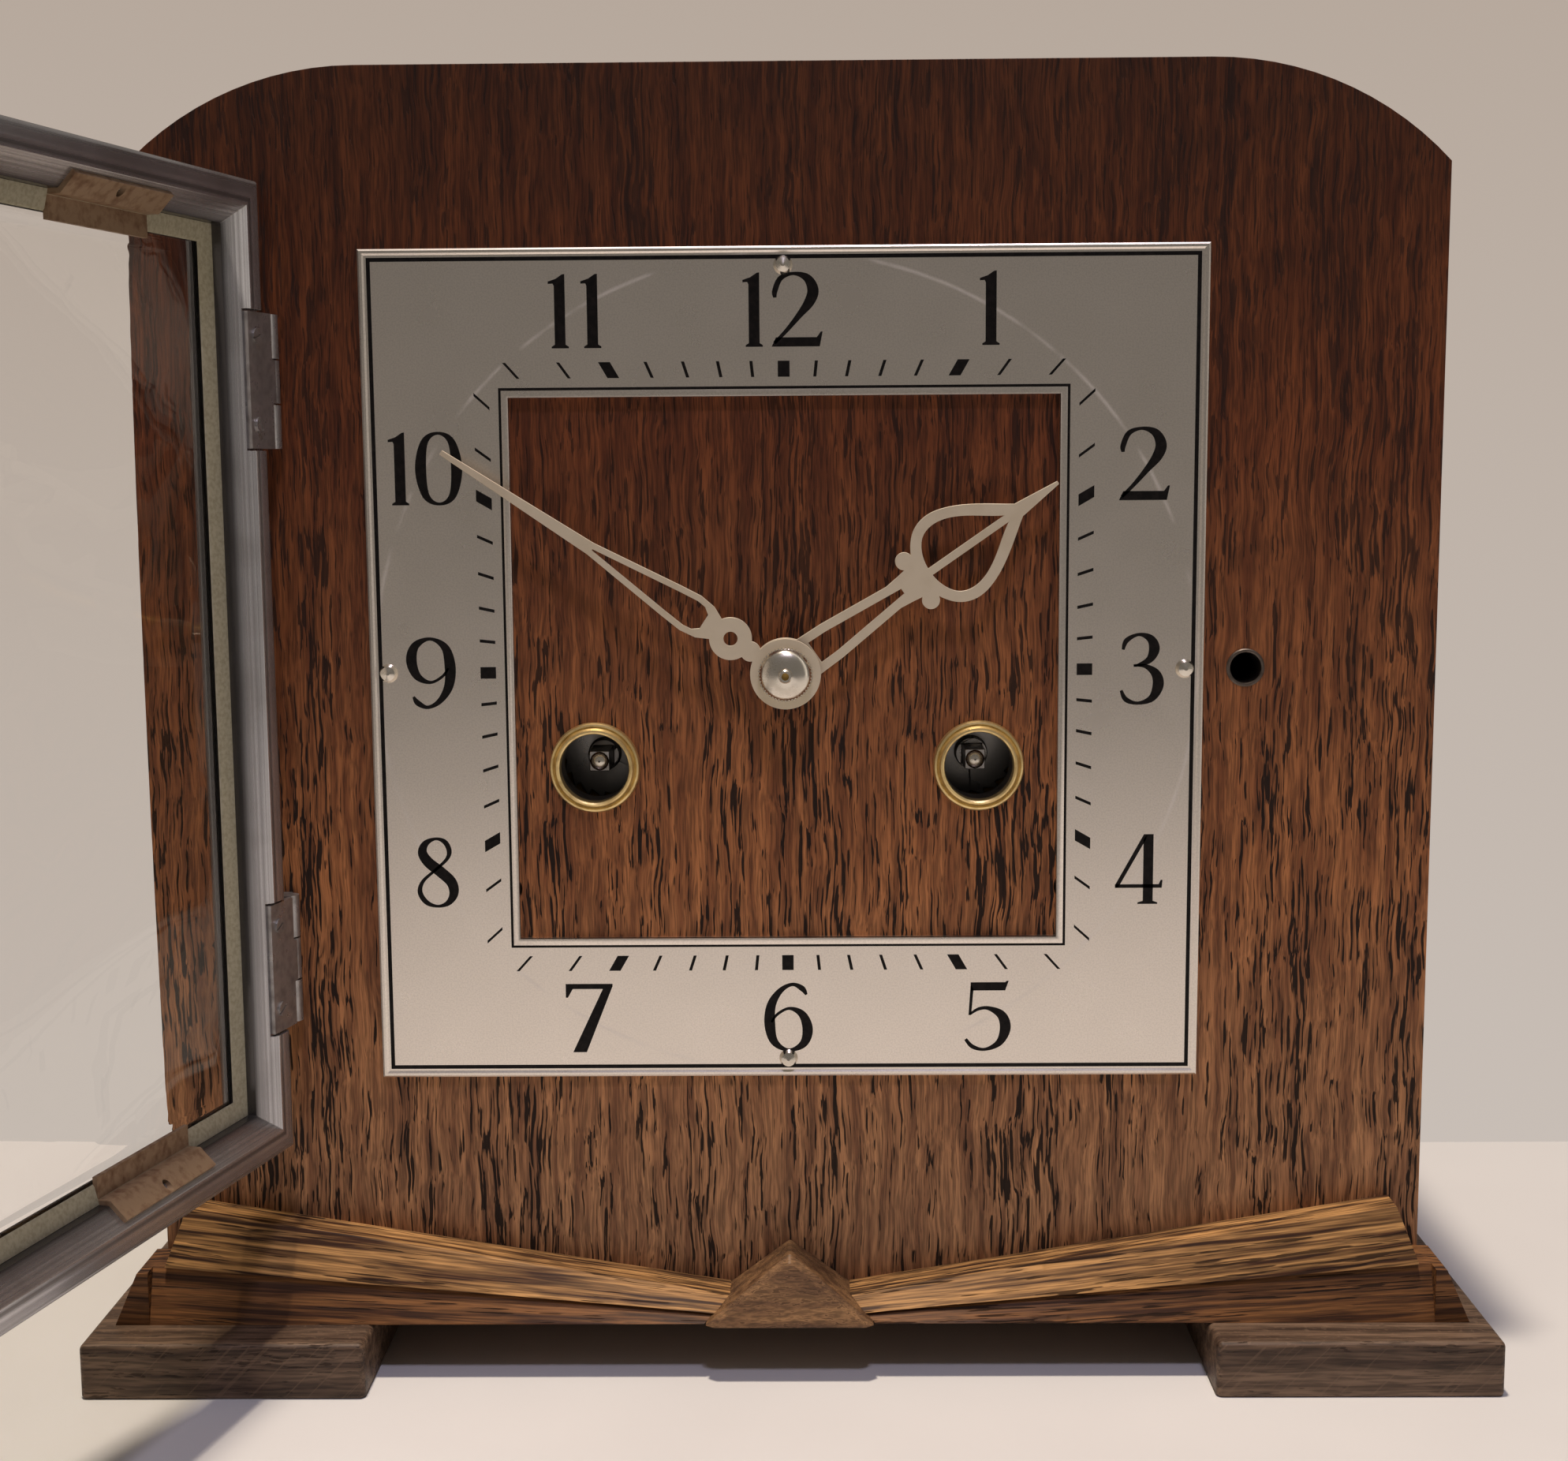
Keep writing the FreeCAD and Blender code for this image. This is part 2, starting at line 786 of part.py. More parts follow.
def make_top():
    """The top and both shoulders are one bent board."""
    body = new_body("case_top")
    sketch = new_sketch(body, "section")
    inner_top = s.case_height - s.top_thick
    inner_radius = s.shoulder_radius - s.top_thick
    corners = [
        (half_width, shoulder_z),
        (flat_half, s.case_height),
        (-flat_half, s.case_height),
        (-half_width, shoulder_z),
        (-top_inner_x, top_inner_z),
        (-flat_half, inner_top),
        (flat_half, inner_top),
        (top_inner_x, top_inner_z),
    ]
    outer = {0: s.shoulder_radius, 2: s.shoulder_radius}
    outline(sketch, corners, outer, hollows={4: inner_radius, 6: inner_radius})
    pad(body, sketch, shell_depth, backwards=True)
    put(body, 0, board_back, s.foot_height)
    piece(body, "case_top")


def make_sides():
    """Each side board's top edge is bevelled to meet the end of the bent top."""
    inner_x = half_width - s.side_thick
    inner_z = shoulder_centre + (inner_x - flat_half) * shoulder_drop / shoulder_reach
    for side, label in ((-1, "case_left_side"), (1, "case_right_side")):
        body = new_body(label)
        sketch = new_sketch(body, "section")
        corners = [(inner_x, 0), (half_width, 0), (half_width, shoulder_z), (inner_x, inner_z)]
        outline(sketch, [(side * as_size(x), z) for x, z in corners])
        pad(body, sketch, shell_depth, backwards=True)
        put(body, 0, board_back, s.foot_height)
        piece(body, label)


def make_base():
    inner_x = half_width - s.side_thick
    board = box("base_board", 2 * inner_x, shell_depth, s.base_thick, -inner_x, board_back, s.foot_height)
    piece(board, "base_board")


def make_feet():
    for side, label in ((-1, "foot_left"), (1, "foot_right")):
        body = new_body(label)
        sketch = new_sketch(body, "plan", "XY_Plane")
        half_w, half_l = s.foot_width / 2, s.foot_length / 2
        rectangle(sketch, -half_w, half_w, -half_l, half_l)
        pad(body, sketch, s.foot_height)
        top = float(s.foot_height)
        dress(body, "Fillet", s.foot_edge, lambda p: abs(p.z - top) < 1e-6 or abs(p.z - top / 2) < 1e-6)
        put(body, side * s.foot_stride / 2, 0, 0)
        piece(body, label)


def keystone_side(rise):
    """Where the keystone's sloping side stands at a height above the case's bottom edge."""
    return s.keystone_base / 2 * (1 - rise / s.keystone_height)


def before_slope(base, crown, rise):
    """What is cut away before a face that leans back from a depth at its foot to another at a height."""
    spare = (base - crown) / 10
    front = -base - 2 * spare
    low, high = -rise / 10, 1.1 * rise
    return [(-base - spare, low), (-crown + spare, high), (front, high), (front, low)]


def lean_strip(body, side, base, crown):
    """Lean a strip's front back, to the same depth all along its rising top edge."""
    root_x = keystone_side(s.upper_strip_root_top)
    gain = (s.upper_strip_tip_rise - s.upper_strip_root_top) / (s.upper_strip_tip - root_x)
    sections = []
    for name, x in (("inner", as_size(0)), ("outer", half_width)):
        section = new_sketch(body, f"lean_{name}", "YZ_Plane", offset=side * x)
        outline(section, before_slope(base, crown, s.upper_strip_root_top + gain * (x - root_x)))
        sections.append(section)
    lean = body.newObject("PartDesign::SubtractiveLoft", f"{body.Name}_lean")
    lean.Profile = sections[0]
    lean.Sections = sections[1:]
    lean.Ruled = True


def make_strips():
    """Two striped mouldings fan out on each side of the keystone, the upper one prouder."""
    upper = [
        (keystone_side(s.upper_strip_root_low), s.upper_strip_root_low),
        (s.upper_strip_end, s.upper_strip_end_rise),
        (s.upper_strip_tip, s.upper_strip_tip_rise),
        (keystone_side(s.upper_strip_root_top), s.upper_strip_root_top),
    ]
    lower = [
        (s.keystone_base / 2, 0),
        (s.lower_strip_end, 0),
        (s.lower_strip_shoulder, s.lower_strip_rise),
        (s.upper_strip_end, s.upper_strip_end_rise),
        (keystone_side(s.upper_strip_root_low), s.upper_strip_root_low),
    ]
    for name, corners, proud in (("upper", upper, s.strip_step), ("lower", lower, as_size(0))):
        for side, hand in ((-1, "left"), (1, "right")):
            body = new_body(f"{name}_strip_{hand}")
            sketch = new_sketch(body, "outline")
            outline(sketch, [(side * x, z) for x, z in corners])
            base = s.strip_base_depth + proud
            pad(body, sketch, base)
            lean_strip(body, side, base, s.strip_top_depth + proud)
            put(body, 0, face_y, s.foot_height)
            piece(body, f"{name}_strip_{hand}")


def make_keystone():
    body = new_body("keystone")
    sketch = new_sketch(body, "outline")
    half = s.keystone_base / 2
    outline(sketch, [(-half, 0), (half, 0), (0, s.keystone_height)])
    pad(body, sketch, s.keystone_thick)
    lean = new_sketch(body, "lean", "YZ_Plane", offset=s.keystone_base)
    outline(lean, before_slope(s.keystone_thick, s.keystone_crown, s.keystone_height))
    pocket(body, lean, 2 * s.keystone_base)
    crown = -float(s.keystone_crown)
    dress(body, "Chamfer", s.keystone_bevel, lambda p: p.y < crown and p.z > 0.1)
    put(body, 0, face_y, s.foot_height)
    piece(body, "keystone")


# Dial and the fittings in the front board


def make_dial():
    body = new_body("dial_plate")
    sketch = new_sketch(body, "ring")
    half, inner = s.dial_size / 2, s.dial_opening / 2
    rectangle(sketch, -half, half, -half, half)
    rectangle(sketch, -inner, inner, -inner, inner)
    for x, z in dial_pin_places():
        circle(sketch, x, z, s.dial_pin_shank + s.running_clearance)
    pad(body, sketch, s.dial_thick)
    put(body, 0, face_y, dial_z)
    piece(body, "dial_plate")


def make_dial_pins():
    """Round-headed pins that hold the dial to the board."""
    radius, shank, rise = s.dial_pin_head, s.dial_pin_shank, s.dial_pin_head * 0.9
    depth = s.dial_thick + 6
    profile = [(0, depth), (shank, depth), (shank, 0), (radius, 0), (radius * 0.75, -rise * 0.7), (0, -rise)]
    pins = []
    for number, (x, z) in enumerate(dial_pin_places()):
        pin = turned(f"dial_pin_{number}", profile)
        put(pin, x, face_y - s.dial_thick, dial_z + z)
        pins.append(pin)
    piece(group("dial_pins", pins), "dial_pins")


def lined_hole(label, bore, wall, flange, proud, depth):
    """A turned lining with a rolled rim, for a hole in the front board."""
    profile = [
        (bore, depth),
        (bore, -proud * 0.5),
        (bore + (flange - bore) * 0.25, -proud),
        (bore + (flange - bore) * 0.7, -proud),
        (flange, -proud * 0.35),
        (flange, 0),
        (bore + wall, 0),
        (bore + wall, depth),
    ]
    return turned(label, profile)


def make_grommets():
    linings = []
    for hand, (x, z) in (("right", GOING_BARREL), ("left", STRIKE_BARREL)):
        sizes = (s.grommet_bore, s.grommet_wall, s.grommet_flange, s.grommet_proud, s.grommet_depth)
        body = lined_hole(f"grommet_{hand}", *sizes)
        put(body, x, face_y, dial_z + z)
        linings.append(body)
    piece(group("winding_grommets", linings), "winding_grommets")
    wall, proud = as_size(0.5), as_size(0.4)
    eyelet = lined_hole("catch_eyelet", s.eyelet_bore, wall, s.eyelet_flange, proud, s.eyelet_depth)
    put(eyelet, s.catch_reach, face_y, dial_z)
    piece(eyelet, "catch_eyelet")


# Hands, pierced from thin plate. They are drawn pointing to twelve


def flat_face(points):
    corners = [Vector(float(x), 0, float(z)) for x, z in points]
    return Part.Face(Part.makePolygon(corners + corners[:1]))


def disc_face(x, z, radius):
    edge = Part.makeCircle(float(radius), Vector(float(x), 0, float(z)), Vector(0, -1, 0))
    return Part.Face(Part.Wire(edge))


def mirrored(points):
    """A symmetric outline from the points of its right half, bottom to top."""
    return list(points) + [(-x, z) for x, z in reversed(points) if x > 0]


def curved_face(points):
    """A symmetric leaf: smooth sides through the right half's points, meeting in two corners."""
    right = [Vector(x, 0, z) for x, z in points]
    left = [Vector(-x, 0, z) for x, z in points]
    edges = []
    for side in (right, left):
        curve = Part.BSplineCurve()
        curve.interpolate(side)
        edges.append(curve.toShape())
    return Part.Face(Part.Wire(Part.sortEdges(edges)[0]))


def pierced(faces, holes, bore):
    """Join the parts of a hand, cut its piercings and its bore."""
    depth = Vector(0, -float(s.hand_thick), 0)
    parts = [face.extrude(depth) for face in faces]
    openings = [face.extrude(depth) for face in holes + [disc_face(0, 0, bore)]]
    return parts[0].fuse(parts[1:]).cut(openings).removeSplitter()


def place_hand(label, shape, gap, angle):
    obj = doc.addObject("Part::Feature", label)
    obj.Shape = shape
    turn(obj, Vector(0, 1, 0), angle)
    put(obj, 0, face_y - gap, dial_z)
    piece(obj, label)


cannon_radius = s.arbor_radius + s.running_clearance + 1.0
hour_pipe_bore = cannon_radius + s.running_clearance
hour_pipe_radius = hour_pipe_bore + 0.9
hand_fit = s.running_clearance / 2


def make_minute_hand():
    """A long pointer that splits into a loop, then a ring and a round boss."""
    length = float(s.minute_length)
    pointer = flat_face(mirrored([(0.6, 38.0), (1.15, 41.0), (0.45, length)]))
    loop = flat_face(mirrored([(2.0, 14.6), (3.2, 17.0), (3.6, 20.0), (3.2, 24.0), (1.15, 41.0)]))
    slot = flat_face(mirrored([(1.4, 17.2), (2.3, 18.4), (2.5, 20.0), (2.1, 24.0), (0.12, 40.6)]))
    ring = disc_face(0, 11.6, 3.8)
    collar = disc_face(0, 7.4, 1.8)
    faces = [pointer, loop, ring, collar, disc_face(0, 0, s.hand_boss)]
    shape = pierced(faces, [slot, disc_face(0, 11.6, 1.25)], cannon_radius + hand_fit)
    place_hand("minute_hand", shape, s.minute_hand_gap, s.minute_angle)


def make_hour_hand():
    """A spade-shaped leaf with a central rib, on a stem of two rails."""
    tip = float(s.hour_length)
    leaf = [(0.0, 29.0), (4.8, 30.4), (7.8, 33.2), (8.6, 36.0), (7.8, 40.0), (3.1, 47.8), (0.0, 52.4)]
    point = flat_face(mirrored([(1.4, 47.0), (1.3, 50.6), (0.3, tip)]))
    opening = [(0.0, 31.4), (3.9, 32.2), (6.0, 34.0), (6.6, 36.2), (5.9, 39.6), (1.9, 45.8), (0.0, 49.0)]
    rib = flat_face([(-0.7, 28.0), (0.7, 28.0), (0.7, 50.0), (-0.7, 50.0)])
    stem = flat_face(mirrored([(3.8, 4.0), (3.6, 10.0), (2.3, 23.4), (2.6, 26.0), (3.4, 30.8)]))
    gap = flat_face(mirrored([(2.1, 6.4), (2.0, 10.0), (0.7, 23.4), (0.5, 25.4)]))
    lobes = [disc_face(side * 4.2, 28.6, 1.6) for side in (-1, 1)]
    halves = curved_face(opening).cut(rib).Faces
    faces = [curved_face(leaf), point, stem, *lobes, disc_face(0, 0, s.hand_boss)]
    shape = pierced(faces, [*halves, gap], hour_pipe_radius + hand_fit)
    place_hand("hour_hand", shape, s.hour_hand_gap, s.hour_angle)


def make_hand_nut():
    bore, radius, height = s.arbor_radius + 0.15, s.hand_nut_radius, s.hand_nut_height
    profile = [(bore, 0), (radius, 0), (radius, -0.3 * height), (0.8 * radius, -0.55 * height),
               (0.5 * radius, -0.9 * height), (bore, -height)]
    nut = turned("hand_nut", profile)
    put(nut, 0, face_y - s.minute_hand_gap - s.hand_thick, dial_z)
    piece(nut, "hand_nut")


# Bezel door, drawn closed about its hinge axis and then swung open


def place_on_door(obj, label):
    turn(obj, Vector(0, 0, -1), s.door_open_angle)
    put(obj, -s.hinge_reach, face_y - s.hinge_standoff, dial_z)
    return piece(obj, label)


bezel_half = s.bezel_size / 2
bezel_left = s.hinge_reach - bezel_half
bezel_rim = s.hinge_standoff - s.free_clearance
opening_half = bezel_half - s.bezel_rail
glass_half = opening_half + s.glass_lap
rebate_half = glass_half + s.free_clearance / 2
leaf_start = s.knuckle_radius + s.free_clearance
leaf_seat = s.knuckle_radius - s.leaf_thick


def door_square(sketch, half):
    rectangle(sketch, s.hinge_reach - half, s.hinge_reach + half, -half, half)


def make_bezel():
    """A square chromed frame: a rounded front, a rolled rim, and a web sloping down to the glass's rebate."""
    body = new_body("bezel_frame")
    ring = new_sketch(body, "ring", offset=-bezel_rim)
    door_square(ring, bezel_half)
    door_square(ring, opening_half)
    pad(body, ring, s.bezel_depth)
    rebate = new_sketch(body, "rebate", offset=-bezel_rim)
    door_square(rebate, rebate_half)
    pocket(body, rebate, s.glass_seat + s.glass_thick, forwards=True)
    front = bezel_rim - s.bezel_depth

    def on_square(point, level, half):
        reach = max(abs(point.x - float(s.hinge_reach)), abs(point.z))
        return abs(point.y - float(level)) < 1e-6 and abs(reach - float(half)) < 1e-6

    dress(body, "Fillet", s.bezel_round, lambda point: on_square(point, front, bezel_half))
    dress(body, "Chamfer", s.bezel_bevel, lambda point: on_square(point, front, opening_half))
    dress(body, "Chamfer", s.bezel_web, lambda point: on_square(point, bezel_rim, rebate_half))
    dress(body, "Fillet", s.bezel_roll, lambda point: on_square(point, bezel_rim, bezel_half))
    notches = new_sketch(body, "notches", offset=-bezel_rim)
    for side in (-1, 1):
        low = side * s.hinge_rise - s.hinge_length / 2 - s.free_clearance
        high = low + s.hinge_length + 2 * s.free_clearance
        rectangle(notches, bezel_left, leaf_start + s.leaf_width + s.free_clearance, low, high)
    pocket(body, notches, bezel_rim - leaf_seat, forwards=True)
    place_on_door(body, "bezel_frame")


def pillow(level, half, rise):
    """A solid raised from a flat square: one curved patch of second degree, closed by its floor."""
    middle = float(s.hinge_reach)
    peaks = (0, 2, 0)
    patch = Part.BezierSurface()
    patch.increase(2, 2)
    for row, x in enumerate((-half, 0, half)):
        for column, z in enumerate((-half, 0, half)):
            pole = Vector(middle + x, level - rise * peaks[row] * peaks[column], z)
            patch.setPole(row + 1, column + 1, pole)
    corners = [(-half, -half), (half, -half), (half, half), (-half, half)]
    points = [Vector(middle + x, level, z) for x, z in corners]
    floor = Part.Face(Part.makePolygon(points + points[:1]))
    shell = Part.makeShell([patch.toShape(), floor])
    shell.sewShape()
    return Part.makeSolid(shell)


def make_glass():
    """Convex glass: a flat flange in the rebate and a raised pillow inside the opening."""
    half = float(opening_half - s.free_clearance)
    rise, thick = float(s.glass_rise), float(s.glass_thick)
    back = float(bezel_rim - s.glass_seat)
    left, right = float(s.hinge_reach - glass_half), float(s.hinge_reach + glass_half)
    flange = block((left, right), (back - thick, back), (-glass_half, glass_half))
    dome = pillow(back - thick, half, rise)
    hollow = pillow(back, half - thick, rise)
    obj = doc.addObject("Part::Feature", "bezel_glass")
    obj.Shape = flange.fuse(dome).cut(hollow).removeSplitter()
    place_on_door(obj, "bezel_glass")


def make_clips():
    """Bent strips on the top and bottom rails: a lip over the glass, a leg, and a screwed tab on the web."""
    thick = s.clip_thick
    seat, bend = bezel_rim - s.glass_seat, bezel_rim - s.bezel_web
    tip_in = thick * math.sqrt(0.5)
    bend_in = thick * (math.sqrt(2) - 1)
    section = [
        (seat, rebate_half - s.clip_reach),
        (seat, rebate_half),
        (bend, rebate_half),
        (bend + s.clip_run, rebate_half + s.clip_run),
        (bend + s.clip_run + tip_in, rebate_half + s.clip_run - tip_in),
        (bend + bend_in, rebate_half - thick),
        (seat + thick, rebate_half - thick),
        (seat + thick, rebate_half - s.clip_reach),
    ]
    clips = []
    for side, level in ((-1, "bottom"), (1, "top")):
        for end, at in (("hinge", -s.clip_spread), ("catch", s.clip_spread)):
            body = new_body(f"clip_{end}_{level}")
            strip = new_sketch(body, "section", "YZ_Plane", offset=s.hinge_reach + at - s.clip_length / 2)
            outline(strip, [(depth, side * reach) for depth, reach in section])
            pad(body, strip, s.clip_length)
            hole = new_sketch(body, "hole", offset=-bezel_rim)
            circle(hole, s.hinge_reach + at, side * (rebate_half + 0.42 * s.clip_run), s.clip_hole)
            pocket(body, hole, s.bezel_web, forwards=True)
            clips.append(body)
    place_on_door(group("glass_clips", clips), "glass_clips")


def make_catch():
    """The stud that enters the eyelet when the door shuts."""
    reach = s.hinge_reach + s.catch_reach
    stud = rod("catch_stud", s.catch_stud_radius, s.catch_stud_length, reach, bezel_rim, 0)
    place_on_door(group("bezel_catch", [stud]), "bezel_catch")


def hinge_knuckles(name, spans, radius, bore, x, y, z):
    """Short tubes along Z, one for each span of a hinge's length."""
    tubes = []
    for number, (low, high) in enumerate(spans):
        tube = rod(f"{name}_tube_{number}", radius, high - low, x, y, z + low, UPRIGHT)
        hole = rod(f"{name}_bore_{number}", bore, high - low, x, y, z + low, UPRIGHT)
        tubes.append(cut(f"{name}_knuckle_{number}", tube, hole))
    return tubes


def make_bezel_hinges():
    """Three-knuckle butt hinges: two knuckles on the case, the middle one on the bezel, let into its back."""
    third = s.hinge_length / 3
    bore = s.hinge_pin_radius + s.running_clearance
    axis_y = face_y - s.hinge_standoff
    case_leaves, door_leaves = [], []
    for side, end in ((-1, "low"), (1, "top")):
        rise = side * s.hinge_rise
        foot = rise - s.hinge_length / 2
        name = f"case_leaf_{end}"
        spans = [(as_size(0), third - 0.15), (2 * third + 0.15, s.hinge_length)]
        knuckles = hinge_knuckles(name, spans, s.knuckle_radius, bore, -s.hinge_reach, axis_y, dial_z + foot)
        plate = box(f"{name}_plate", s.leaf_width, s.leaf_thick, s.hinge_length,
                    -s.hinge_reach - s.leaf_width - 1, face_y - s.leaf_thick, dial_z + foot)
        webs = []
        for number, (low, high) in enumerate(spans):
            webs.append(box(f"{name}_web_{number}", 1.6, s.leaf_thick, high - low, -s.hinge_reach - 1.6,
                            face_y - s.leaf_thick, dial_z + foot + low))
        case_leaves.append(fuse(name, plate, *webs, *knuckles))
        name = f"door_leaf_{end}"
        middle = [(third + 0.15, 2 * third - 0.15)]
        knuckle = hinge_knuckles(name, middle, s.knuckle_radius, bore, 0, 0, foot)
        web_start = 0.6 * s.knuckle_radius
        web = box(f"{name}_web", leaf_start - web_start + 1, s.leaf_thick, third - 0.3, web_start, leaf_seat,
                  foot + third + 0.15)
        flat = box(f"{name}_flat", s.leaf_width, s.leaf_thick, s.hinge_length, leaf_start, leaf_seat, foot)
        door_leaves.append(fuse(name, flat, web, *knuckle))
        case_leaves.append(rod(f"hinge_pin_{end}", s.hinge_pin_radius, s.hinge_length, -s.hinge_reach, axis_y,
                               dial_z + foot, UPRIGHT))
    piece(group("bezel_hinge_case_leaves", case_leaves), "bezel_hinge_case_leaves")
    place_on_door(group("bezel_hinge_door_leaves", door_leaves), "bezel_hinge_door_leaves")


# Back door


def make_back_door():
    """The door fills the opening of the back panel and hangs on two small butt hinges."""
    half = s.back_door_width / 2 - s.free_clearance
    low = s.foot_height + s.back_door_rise + s.free_clearance
    height = s.back_door_height - 2 * s.free_clearance
    door = box("back_door", 2 * half, s.back_thick, height, -half, back_y - s.back_thick, low)
    piece(door, "back_door")


back_axis_x = s.back_door_width / 2
back_middle = s.foot_height + s.back_door_rise + s.back_door_height / 2


def back_leaf(name, spans, side, foot):
    """One hinge leaf on the back: a plate, and a web and a knuckle for each span. side is +1 on the panel."""
    radius, thick = s.back_knuckle_radius, s.back_leaf_thick
    axis_y = back_y + radius
    bore = s.hinge_pin_radius + s.running_clearance
    knuckles = hinge_knuckles(name, spans, radius, bore, back_axis_x, axis_y, foot)
    inner = radius + s.free_clearance / 2
    plate_x = back_axis_x + inner if side > 0 else back_axis_x - inner - s.back_leaf_width
    plate = box(f"{name}_plate", s.back_leaf_width, thick, s.back_hinge_length, plate_x, back_y, foot)
    web_x = back_axis_x + radius / 2 if side > 0 else back_axis_x - inner - radius / 2
    webs = []
    for number, (low, high) in enumerate(spans):
        webs.append(box(f"{name}_web_{number}", inner, thick, high - low, web_x, back_y, foot + low))
    return fuse(name, plate, *webs, *knuckles)


def make_back_hinges():
    third = s.back_hinge_length / 3
    gap = s.free_clearance / 2
    panel_side, door_side = [], []
    for side, end in ((-1, "low"), (1, "top")):
        foot = back_middle + side * s.back_hinge_spread - s.back_hinge_length / 2
        outer = [(as_size(0), third - gap), (2 * third + gap, s.back_hinge_length)]
        middle = [(third + gap, 2 * third - gap)]
        panel_side.append(back_leaf(f"back_panel_leaf_{end}", outer, 1, foot))
        panel_side.append(rod(f"back_pin_{end}", s.hinge_pin_radius, s.back_hinge_length, back_axis_x,
                              back_y + s.back_knuckle_radius, foot, UPRIGHT))
        door_side.append(back_leaf(f"back_door_leaf_{end}", middle, -1, foot))
    piece(group("back_hinge_door_leaves", door_side), "back_hinge_door_leaves")
    return panel_side


def make_back_fittings():
    """Hinges, and a pivoted bar that frees the door when upright and holds it shut when level."""
    x = -back_axis_x - s.turn_button_offset
    y = back_y + s.free_clearance
    half = s.turn_button_length / 2
    shank = s.turn_button_shank
    bar = box("turn_bar", s.turn_button_width, s.turn_button_thick, 2 * half, x - s.turn_button_width / 2, y,
              back_middle - half)
    hole = rod("turn_hole", shank + s.running_clearance, s.turn_button_thick, x, y, back_middle)
    piece(cut("turn_button", bar, hole), "turn_button")
    reach = s.turn_button_thick + 2 * s.free_clearance
    stem = rod("turn_stem", shank, reach, x, back_y, back_middle)
    head = rod("turn_head", 2 * shank, shank, x, back_y + reach, back_middle)
    fixed = [*make_back_hinges(), fuse("turn_button_screw", stem, head)]
    piece(group("back_panel_fittings", fixed), "back_panel_fittings")


# Movement frame

RACK = (s.rack_x, s.rack_z)
HOOK = (s.hook_x, s.hook_z)
LEVER = (s.lever_x, s.lever_z)
GOING_CLICK = (GOING_BARREL[0] + s.click_out, GOING_BARREL[1] + s.click_up)
STRIKE_CLICK = (STRIKE_BARREL[0] - s.click_out, STRIKE_BARREL[1] + s.click_up)


def plate_holes(sketch, back):
    """The pivot holes both plates share, with the larger holes where a shaft passes through."""
    fit = s.running_clearance
    pivot = s.pivot_radius + fit
    through = s.arbor_radius + fit
    for place in (SECOND, THIRD, ESCAPE, WARNING, FLY):
        circle(sketch, *place, pivot)
    for place in (GOING_BARREL, STRIKE_BARREL):
        circle(sketch, *place, s.barrel_arbor_radius + fit)
    circle(sketch, *CENTRE, pivot if back else through)
    circle(sketch, *GATHER, pivot if back else s.gather_extension + fit)
    circle(sketch, *PIN, through if back else pivot)
    circle(sketch, *ANCHOR, s.crutch_arbor_radius + fit if back else pivot)


def plate_body(label, back):
    body = new_body(label)
    sketch = new_sketch(body, "plan")
    rectangle(sketch, -s.plate_width / 2, s.plate_width / 2, -s.plate_bottom, s.plate_top)
    plate_holes(sketch, back)
    pad(body, sketch, s.plate_thick, backwards=True)
    return body


def studs(body, name, places, radius, length, backwards):
    """Round studs riveted in a plate, standing out from its outer face."""
    offset = -s.plate_thick if backwards else 0
    sketch = new_sketch(body, name, offset=offset)
    for x, z in places:
        circle(sketch, x, z, radius)
    pad(body, sketch, length, backwards)


def make_plates():
    front = plate_body("front_plate", back=False)
    spare = s.free_clearance
    studs(front, "minute_stud", [MINUTE], s.stud_radius, s.hour_wheel_level + 2 * spare, False)
    studs(front, "lever_studs", [HOOK, LEVER], s.stud_radius, s.lever_level + spare, False)
    studs(front, "rack_stud", [RACK], s.stud_radius, s.rack_tail_level + spare, False)
    studs(front, "click_studs", [GOING_CLICK, STRIKE_CLICK], s.stud_radius, s.ratchet_level + spare, False)
    put(front, 0, plate_front, dial_z)
    piece(front, "front_plate")
    back = plate_body("back_plate", back=True)
    hammer_reach = s.hammer_setback + s.hammer_pitch + 7
    studs(back, "hammer_stud", [HAMMER], s.hammer_stud_radius, hammer_reach, True)
    put(back, 0, plates_out, dial_z)
    piece(back, "back_plate")


def make_pillars():
    """Pillars hold the plates apart. Posts hold the front plate off the board, each with its screw."""
    bars = []
    for number, (x, z) in enumerate(PILLARS):
        bars.append(rod(f"pillar_{number}", s.pillar_radius, s.plate_gap, x, plates_in, dial_z + z))
    for number, (x, z) in enumerate(POSTS):
        high = dial_z + z
        bars.append(rod(f"post_{number}", s.post_radius, s.post_length, x, board_back, high))
        start = face_y + s.free_clearance
        shank = rod(f"post_shank_{number}", s.post_screw, board_back - start, x, start, high)
        depth = s.post_head_depth - s.free_clearance
        head = rod(f"post_head_{number}", 1.8 * s.post_screw, depth, x, start, high)
        bars.append(fuse(f"post_screw_{number}", shank, head))
    piece(group("movement_pillars", bars), "movement_pillars")


# Going train and winding work

great_level = s.barrel_front + s.barrel_length
inside = float(plates_in)
outside = float(plate_front)
behind = float(plate_back)


def make_barrel(label, place, phase):
    """An open drum on the winding arbor, with the great wheel at its back."""
    start = inside + float(s.barrel_front)
    end = start + float(s.barrel_length)
    bore = s.barrel_arbor_radius + s.running_clearance
    wall, hub = 1.2, 5.0
    drum = cylinder(s.barrel_radius, start, end).cut(cylinder(s.barrel_radius - wall, start - 1, end - wall))
    radii = wheel_radii(GREAT_TEETH, s.great_module)
    great = toothed(radii, GREAT_TEETH, end, end + float(s.wheel_thick), phase, POINTED)
    shape = drum.fuse([cylinder(hub, start, end), great])
    feature(label, shape.cut(cylinder(bore, start - 1, end + 5)), place)


